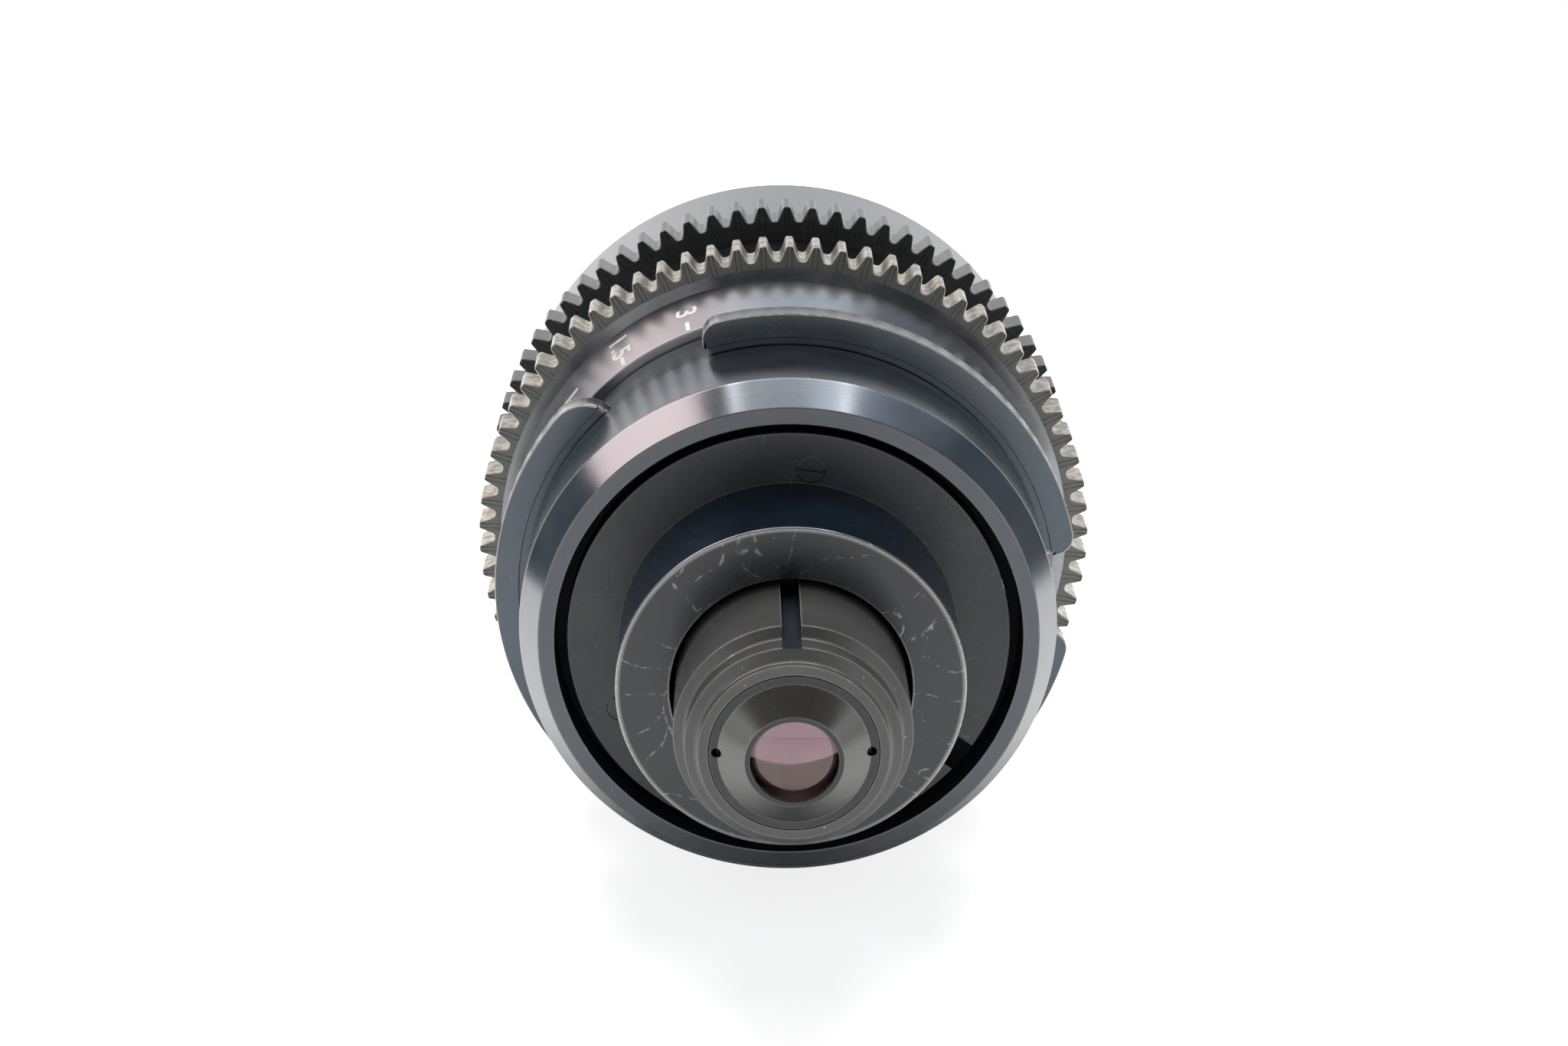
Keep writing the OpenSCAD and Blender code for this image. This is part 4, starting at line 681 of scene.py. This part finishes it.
def gear_patch(s, y0, y1):
    """Toothed ring. Its outline is given by angle and radius, tooth after tooth: flank, tip land, flank, gap, with
    the half tooth (pi m / 2 - 2 (r - pitch) tan 20) / 2r at the radius r. A closed section of inset and station is
    carried round it. The teeth are finish 1, the shoulder of the rear face is finish 2, the rest finish 0."""
    module, slant, shoulder = 0.8 * MM, math.tan(math.radians(20)), 28.2 * MM
    pitch, soft, tip_break, fillet, round_off = module * s.teeth / 2, 0.07 * MM, 0.18 * MM, 0.12 * MM, 0.05 * MM
    dip, tip_shares, hem = 0.02 * MM, (0.86, 0.72), 3 * soft

    def half(r):
        return (math.pi * module / 2 - 2 * (r - pitch) * slant) / (2 * r)

    r = np.r_[s.root, np.linspace(s.root + fillet, s.tip - tip_break, 4), s.tip - round_off, s.tip]
    a = half(r)
    a[0] += fillet / s.root
    a[-2:] = a[-2:] * tip_shares
    space = TURN / s.teeth
    rim_a = np.r_[-a, a[::-1], space / 2]
    rim_r = np.r_[r, r[::-1], s.root - dip]
    a = (s.tooth_turn + space * np.arange(s.teeth)[:, None] + rim_a).ravel()
    r = np.tile(rim_r, s.teeth)
    outline = np.stack([r * np.cos(a), r * np.sin(a)], -1)
    points, weight = softened([[hem, y0, 0], [0, y0, soft], [0, y1, soft], [hem, y1, 0]], closed=False)
    rows = [inset(outline, depth) for depth, _ in points]
    ring = np.stack([np.cos(a), np.sin(a)], -1)
    rows = [GEAR_BORE * ring, shoulder * ring] + rows + [shoulder * ring, GEAR_BORE * ring, GEAR_BORE * ring]
    stations = np.r_[y0, y0, points[:, 1], y1, y1, y0]
    weight = np.r_[0, 0, weight, 0, 0, 0]
    grid = np.stack([np.stack([row[:, 0], np.full(len(row), y), row[:, 1]], -1) for row, y in zip(rows, stations)])
    grid = np.concatenate([grid, grid[:, :1]], 1)
    weight = np.repeat(weight[:, None], grid.shape[1], 1)
    # After the bore and the shoulder come q rows for each corner, and the teeth lie between the two outer breaks
    q = STEPS + 2
    band = np.arange(len(rows) - 1)
    kinds = np.where((band >= 2 + q + 1) & (band < 2 + 3 * q - 2), 1, np.where(band == 0, 2, 0))
    return grid, weight, kinds[:, None]


class LENS_OT_gears(bpy.types.Operator):
    """Two drive gears: the near one rubbed bright on its teeth, the far one still dyed."""
    bl_idname = "lens.gears"
    bl_label = "Drive gears"

    def execute(self, context):
        s = context.scene.lens_sizes
        worn = ["dusty anodised aluminium", "cut aluminium", "rubbed anodised aluminium"]
        fresh = ["matte anodised aluminium", "glossy anodised aluminium", "matte anodised aluminium"]
        for name, node_name, body, finishes, stations in (
                ("focus_teeth", "focus_gear", "focus", worn, FOCUS_GEAR_Y),
                ("iris_teeth", "iris_gear", "iris", fresh, IRIS_GEAR_Y)):
            piece_of(name, mesh_of(name, [gear_patch(s, *stations)]), finishes, body, [node_name])
        return {"FINISHED"}


def on_cone(u, v, h, a, y):
    """Point of the conical scale: u runs back along the cone from the station y, v runs clockwise from the angle
    a, h stands off the cone, whose radius grows evenly from its rear station to its front one."""
    slope = (SCALE_FRONT_R - SCALE_REAR_R) / (SCALE_FRONT_Y - SCALE_REAR_Y)
    lean = 1 / math.hypot(1, slope)
    station = y - u * lean
    r = SCALE_REAR_R + (station - SCALE_REAR_Y) * slope + h * lean
    turn = a - v / r
    return np.stack([r * np.cos(turn), station - h * slope * lean, r * np.sin(turn)], -1)


class LENS_OT_scale(bpy.types.Operator):
    """Focus ring with its conical distance scale: white ticks and numbers."""
    bl_idname = "lens.scale"
    bl_label = "Focus ring and scale"

    def execute(self, context):
        s = context.scene.lens_sizes
        end_y = FOCUS_GEAR_Y[1]
        section = [[RING_BORE, SCALE_REAR_Y, FINE], [SCALE_REAR_R, SCALE_REAR_Y, 0.12 * MM],
                   [SCALE_FRONT_R, SCALE_FRONT_Y, 0.1 * MM], [GEAR_SEAT, SCALE_FRONT_Y, FINE],
                   [GEAR_SEAT, end_y, FINE], [RING_BORE, end_y, FINE]]
        turned_piece("focus_scale_ring", section, ["satin anodised aluminium"], "focus",
                     ["focus_ring"])
        paint, bold, digit_share = 0.02 * MM, 0.05 * MM, 0.7
        tick_y, tick_l, tick_half = 9.2 * MM, 1.3 * MM, 0.2 * MM
        # Each number has the angle of its tick and the station in mm where its line of text starts
        for label, degrees, tail in (("3", 111.6, 11.4), ("1.5", 127.6, 12.6), ("1", 142.5, 11.2)):
            a = math.radians(degrees)
            words = bpy.data.curves.new("digits", "FONT")
            words.body, words.size, words.extrude = label, s.digit / digit_share, paint
            words.align_y, words.offset = "CENTER", bold
            carrier = placed("digits", words)
            mesh = bpy.data.meshes.new_from_object(carrier.evaluated_get(bpy.context.evaluated_depsgraph_get()))
            bpy.data.objects.remove(carrier)
            flat = np.empty(len(mesh.vertices) * 3)
            mesh.vertices.foreach_get("co", flat)
            u, v, h = flat.reshape(-1, 3).T
            mesh.vertices.foreach_set("co", on_cone(u, v, h, a, tail * MM).ravel())
            shape = bmesh.new()
            shape.from_mesh(mesh)
            bmesh.ops.remove_doubles(shape, verts=shape.verts, dist=WELD)
            shape.to_mesh(mesh)
            shape.free()
            ending = label.replace(".", "_")
            piece_of("scale_number_" + ending, mesh, ["white scale paint"], "focus")
            u, v = np.meshgrid(np.linspace(0, tick_l, 5), np.linspace(-tick_half, tick_half, 5), indexing="ij")
            top, low = on_cone(u, v, paint, a, tick_y), on_cone(u, v, -paint, a, tick_y)
            rim_u, rim_v = (np.r_[w[0], w[1:, -1], w[-1, -2::-1], w[-2::-1, 0]] for w in (u, v))
            wall = np.stack([on_cone(rim_u, rim_v, h, a, tick_y) for h in (-paint, paint)])
            mesh = mesh_of("tick", [(top, 0, 0), (low[::-1], 0, 0), (wall, 0, 0)])
            piece_of("scale_tick_" + ending, mesh, ["white scale paint"], "focus")
        return {"FINISHED"}


class LENS_OT_front(bpy.types.Operator):
    """Iris ring, front housing with its accessory thread, trim ring, front cell, and front glass with its ring."""
    bl_idname = "lens.front"
    bl_label = "Front"

    def execute(self, context):
        s = context.scene.lens_sizes
        iris_y, iris_r = 21.25 * MM, 27 * MM
        gear_y, end_y = IRIS_GEAR_Y
        section = [[RING_BORE, iris_y, FINE], [iris_r, iris_y, 0.12 * MM], [iris_r, gear_y, 0.1 * MM],
                   [GEAR_SEAT, gear_y, FINE], [GEAR_SEAT, end_y, FINE], [RING_BORE, end_y, FINE]]
        turned_piece("iris_scale_ring", section, ["black anodised aluminium"], "iris", ["iris_ring"])
        # The sections of the housing and of the next three rings are in millimetres
        outer, bore, chamfer, rear_y, front_y, floor_y = s.front / MM, 24.5, 0.5, 31.05, 44.25, 41.25
        thread = [[bore, y, 0] for y in np.linspace(front_y - 0.1, floor_y + 0.1, 90)]
        section = [[23.03, rear_y, 0.05], [outer - chamfer, rear_y, 0.1], [outer, rear_y + chamfer, 0.1],
                   [outer, front_y - chamfer, 0.1], [outer - chamfer, front_y, 0.1], [bore, front_y, 0.1]]
        section += thread + [[bore, floor_y, 0.05], [23.7, floor_y, 0.05], [23.7, 39.65, 0.05], [22, 39.65, 0.05],
                             [22, 38.05, 0.05], [23.03, 38.05, 0.05]]
        points, weight = softened(np.array(section) * MM)
        grid, weight = lathe(points, weight)
        # Accessory thread: the bore's radius follows a triangle wave that climbs one pitch a turn
        pitch, depth = 0.75, 0.3
        r, y = points[:, :1] / MM, points[:, 1:] / MM
        phase = (y / pitch - np.linspace(0, 1, COLUMNS + 1)) % 1
        threaded = (np.abs(r - bore) < 0.01) & (y > floor_y + 0.05) & (y < front_y - 0.05)
        swell = 1 + threaded * depth / bore * np.abs(2 * phase - 1)
        grid = grid * np.stack([swell, np.ones_like(swell), swell], -1)
        screw_r, screw_y, inside_r, past_r = 1.03 * MM, 34.55 * MM, 20 * MM, 30 * MM
        holes = [rod(screw_r, inside_r, past_r, (0, screw_y, 0), (0, 1, 0), out_at(a))
                 for a in np.radians([270, 30, 150])]
        # The screw holes take the flat black of painted shade
        piece_of("front_housing_shell", mesh_of("front_housing_shell", [(grid, weight, 0)]),
                 ["blasted anodised aluminium"], "barrel", ["front_housing"], holes)
        for name, node_name, body, slot, finish, section in (
                ("front_trim_ring", "front_ring", "barrel", "matte_black", "matte anodised aluminium",
                 [[18.9, 39.65, 0.05], [23.67, 39.65, 0.05], [23.67, 41.25, 0.1], [18.9, 41.25, 0.2]]),
                ("front_cell_shell", "front_cell", "carriage", "anodised_black", "black anodised aluminium",
                 [[10.2, 26.35, 0.05], [16.47, 26.35, 0.05], [16.47, 39.45, 0.05], [18.4, 39.45, 0.05],
                  [18.4, 40.85, 0.15], [14.53, 40.85, 0.15], [14.53, 36.05, 0.05], [13.03, 36.05, 0.05],
                  [13.03, 30.85, 0.05], [11.53, 30.85, 0.05], [11.53, 27.15, 0.05], [10.2, 27.15, 0.05]]),
                ("front_glass_ring", "front_retainer", "carriage", "matte_black", "matte anodised aluminium",
                 [[13.3, 37.95, 0.05], [14.5, 37.45, 0.05], [14.5, 40.55, 0.1], [13.3, 40.55, 0.15]])):
            turned_piece(name, np.array(section) * MM, [finish], body, [node_name])
        curve, top_y, flat_y, glass_r = 40 * MM, 40.17 * MM, 36.05 * MM, 14.5 * MM
        points = glass_section(top_y, flat_y, curve, glass_r, 1, 48)
        grid, weight = lathe(points, np.zeros(len(points)), 240)
        piece_of("front_glass", mesh_of("front_glass", [(grid, weight, 0)]), ["coated glass"], "carriage",
                 ["front_element"])
        return {"FINISHED"}


class LENS_OT_stage(bpy.types.Operator):
    """Pale floor, surroundings, overhead softbox, dim cards overhead and at both sides, and the camera."""
    bl_idname = "lens.stage"
    bl_label = "Stage"

    def execute(self, context):
        scene = context.scene
        scene.view_settings.view_transform = "Standard"
        level = CAD_BOX[0][2]
        half_x, half_y = 0.2, 0.9
        x, y = np.meshgrid(np.linspace(-half_x, half_x, 3), np.linspace(-half_y, half_y, 3), indexing="ij")
        floor = placed("floor", mesh_of("floor", [(np.stack([x, y, x * 0 + level], -1), 0, 0)]))
        # Seamless paper: soft white that keeps the shadow; metal and glass see hardly more than the light that falls
        # on it, so the lens darkens the floor that it mirrors
        camera_glow, mirror_glow = 0.8, 0.01
        tree = new_tree("white paper")
        path = node(tree, "LightPath").node.outputs
        seen = node(tree, "Math", {0: path["Is Glossy Ray"], 1: path["Is Transmission Ray"]}, operation="MAXIMUM")
        seen = node(tree, "Math", {0: seen, 1: mirror_glow}, operation="MULTIPLY")
        glow = node(tree, "Math", {0: path["Is Camera Ray"], 1: camera_glow, 2: seen}, operation="MULTIPLY_ADD")
        paper = node(tree, "BsdfDiffuse", {"Color": tuple(scene.lens_colours.floor)})
        light = node(tree, "Emission", {"Color": WHITE, "Strength": glow})
        node(tree, "OutputMaterial", {"Surface": node(tree, "AddShader", {0: paper, 1: light})})
        floor.data.materials.append(bpy.data.materials["white paper"])
        world = scene.world or bpy.data.worlds.new("studio")
        scene.world = world
        world.use_nodes = True
        tree = world.node_tree
        tree.nodes.clear()
        # What metal and glass see: white low down before and behind the lens, dim to its sides and above. The camera
        # sees white, and what lights the lens is plain grey. A band starts and ends along Y, then along Z
        way = node(tree, "SeparateXYZ", {0: node(tree, "TexCoord", out="Generated")}).node.outputs
        bands = []
        for axis_from, axis_to, top_from, top_to in ((0.45, 0.65, 0.36, 0.5), (-0.3, -0.55, 0.2, 0.36)):
            ahead = node(tree, "MapRange", {"Value": way[1], "From Min": axis_from, "From Max": axis_to},
                         interpolation_type="SMOOTHSTEP")
            low = node(tree, "MapRange", {"Value": way[2], "From Min": top_from, "From Max": top_to, "To Min": 1.0,
                                          "To Max": 0.0}, interpolation_type="SMOOTHSTEP")
            bands.append(node(tree, "Math", {0: ahead, 1: low}, operation="MULTIPLY"))
        white = node(tree, "Math", {0: bands[0], 1: bands[1]}, operation="MAXIMUM")
        front = node(tree, "MapRange", {"Value": way[1], "From Min": -0.3, "From Max": 0.1})
        sky = node(tree, "Mix", {0: front, 6: linear("#716f6c"), 7: linear("#57626d")}, 2, data_type="RGBA")
        sky = node(tree, "Mix", {0: white, 6: sky, 7: WHITE}, 2, data_type="RGBA")
        path = node(tree, "LightPath").node.outputs
        seen = node(tree, "Math", {0: path["Is Glossy Ray"], 1: path["Is Transmission Ray"]}, operation="MAXIMUM")
        sky = node(tree, "Mix", {0: seen, 6: linear("#787878"), 7: sky}, 2, data_type="RGBA")
        sky = node(tree, "Mix", {0: path["Is Camera Ray"], 6: sky, 7: WHITE}, 2, data_type="RGBA")
        node(tree, "OutputWorld", {"Surface": node(tree, "Background", {"Color": sky})})
        # One softbox lights the lens; the dimmer cards are only there to be mirrored in it. Place and size in metres,
        # power in watts
        for name, spot, size, power, code in (
                ("softbox", (0, 0.44, 0.9), (0.8, 0.9), 17.5, "#ffffff"),
                ("card_overhead", (0.02, 0.35, 0.88), (0.56, 0.62), 1.55, "#f4faff"),
                ("card_edge_left", (-0.25, 0.35, 0.87), (0.05, 0.62), 0.42, "#ffffff"),
                ("card_edge_right", (0.29, 0.35, 0.87), (0.05, 0.62), 0.42, "#ffffff"),
                ("card_side", (-0.609, 0.284, 0.672), (0.77, 0.65), 3.6, "#ffe9e6"),
                ("card_window", (0.44, 0.25, 0.82), (0.28, 0.8), 0.7, "#d5e1f5")):
            lamp = bpy.data.lights.new(name, "AREA")
            lamp.shape, lamp.size, lamp.size_y, lamp.energy = "RECTANGLE", *size, power
            lamp.color = linear(code)[:3]
            holder = placed(name, lamp)
            holder.location = spot
            if name == "softbox":
                holder.visible_glossy = False
            else:
                holder.visible_diffuse = False
            if name in ("card_side", "card_window"):
                holder.rotation_euler = (-Vector(spot)).to_track_quat("-Z", "Y").to_euler()
        eye = bpy.data.cameras.new("camera")
        eye.sensor_fit, eye.sensor_width, eye.lens = "HORIZONTAL", 36, 59.766
        eye.clip_start, eye.clip_end = 0.01, 50
        holder = placed("camera", eye)
        # Place in millimetres and directions of the photograph's camera, from the fit to the coaxial circles
        spot = Vector((-5.047, -227.411, 99.237))
        right, down = Vector((0.99981, -0.01795, 0.00727)), Vector((0, -0.37532, -0.9269))
        ahead = Vector((0.01937, 0.92672, -0.37525))
        turn = Matrix((right, -down, -ahead)).transposed()
        holder.matrix_world = Matrix.Translation(spot * MM) @ turn.to_4x4()
        scene.camera = holder
        return {"FINISHED"}


class LENS_PT_panel(bpy.types.Panel):
    """Lists the steps that dress the lens."""
    bl_idname = "LENS_PT_panel"
    bl_label = "Lens"
    bl_space_type = "VIEW_3D"
    bl_region_type = "UI"
    bl_category = "Lens"

    def draw(self, context):
        for step in STEPS_IN_ORDER:
            self.layout.operator(step.bl_idname)


STEPS_IN_ORDER = (LENS_OT_finishes, LENS_OT_mount, LENS_OT_sleeve, LENS_OT_rear_tube, LENS_OT_gears, LENS_OT_scale,
                  LENS_OT_front, LENS_OT_stage)
CLASSES = (LensSizes, LensColours) + STEPS_IN_ORDER + (LENS_PT_panel,)


def register():
    """Registers the classes and hangs the two property groups on the scene."""
    for each in CLASSES:
        bpy.utils.register_class(each)
    bpy.types.Scene.lens_sizes = bpy.props.PointerProperty(type=LensSizes)
    bpy.types.Scene.lens_colours = bpy.props.PointerProperty(type=LensColours)


def unregister():
    """Takes the property groups and the classes away again."""
    del bpy.types.Scene.lens_sizes, bpy.types.Scene.lens_colours
    for each in reversed(CLASSES):
        bpy.utils.unregister_class(each)


def main():
    """Dresses the lens step by step."""
    register()
    for step in STEPS_IN_ORDER:
        group, name = step.bl_idname.split(".")
        getattr(getattr(bpy.ops, group), name)()
    bpy.context.view_layer.update()


if __name__ == "__main__":
    main()
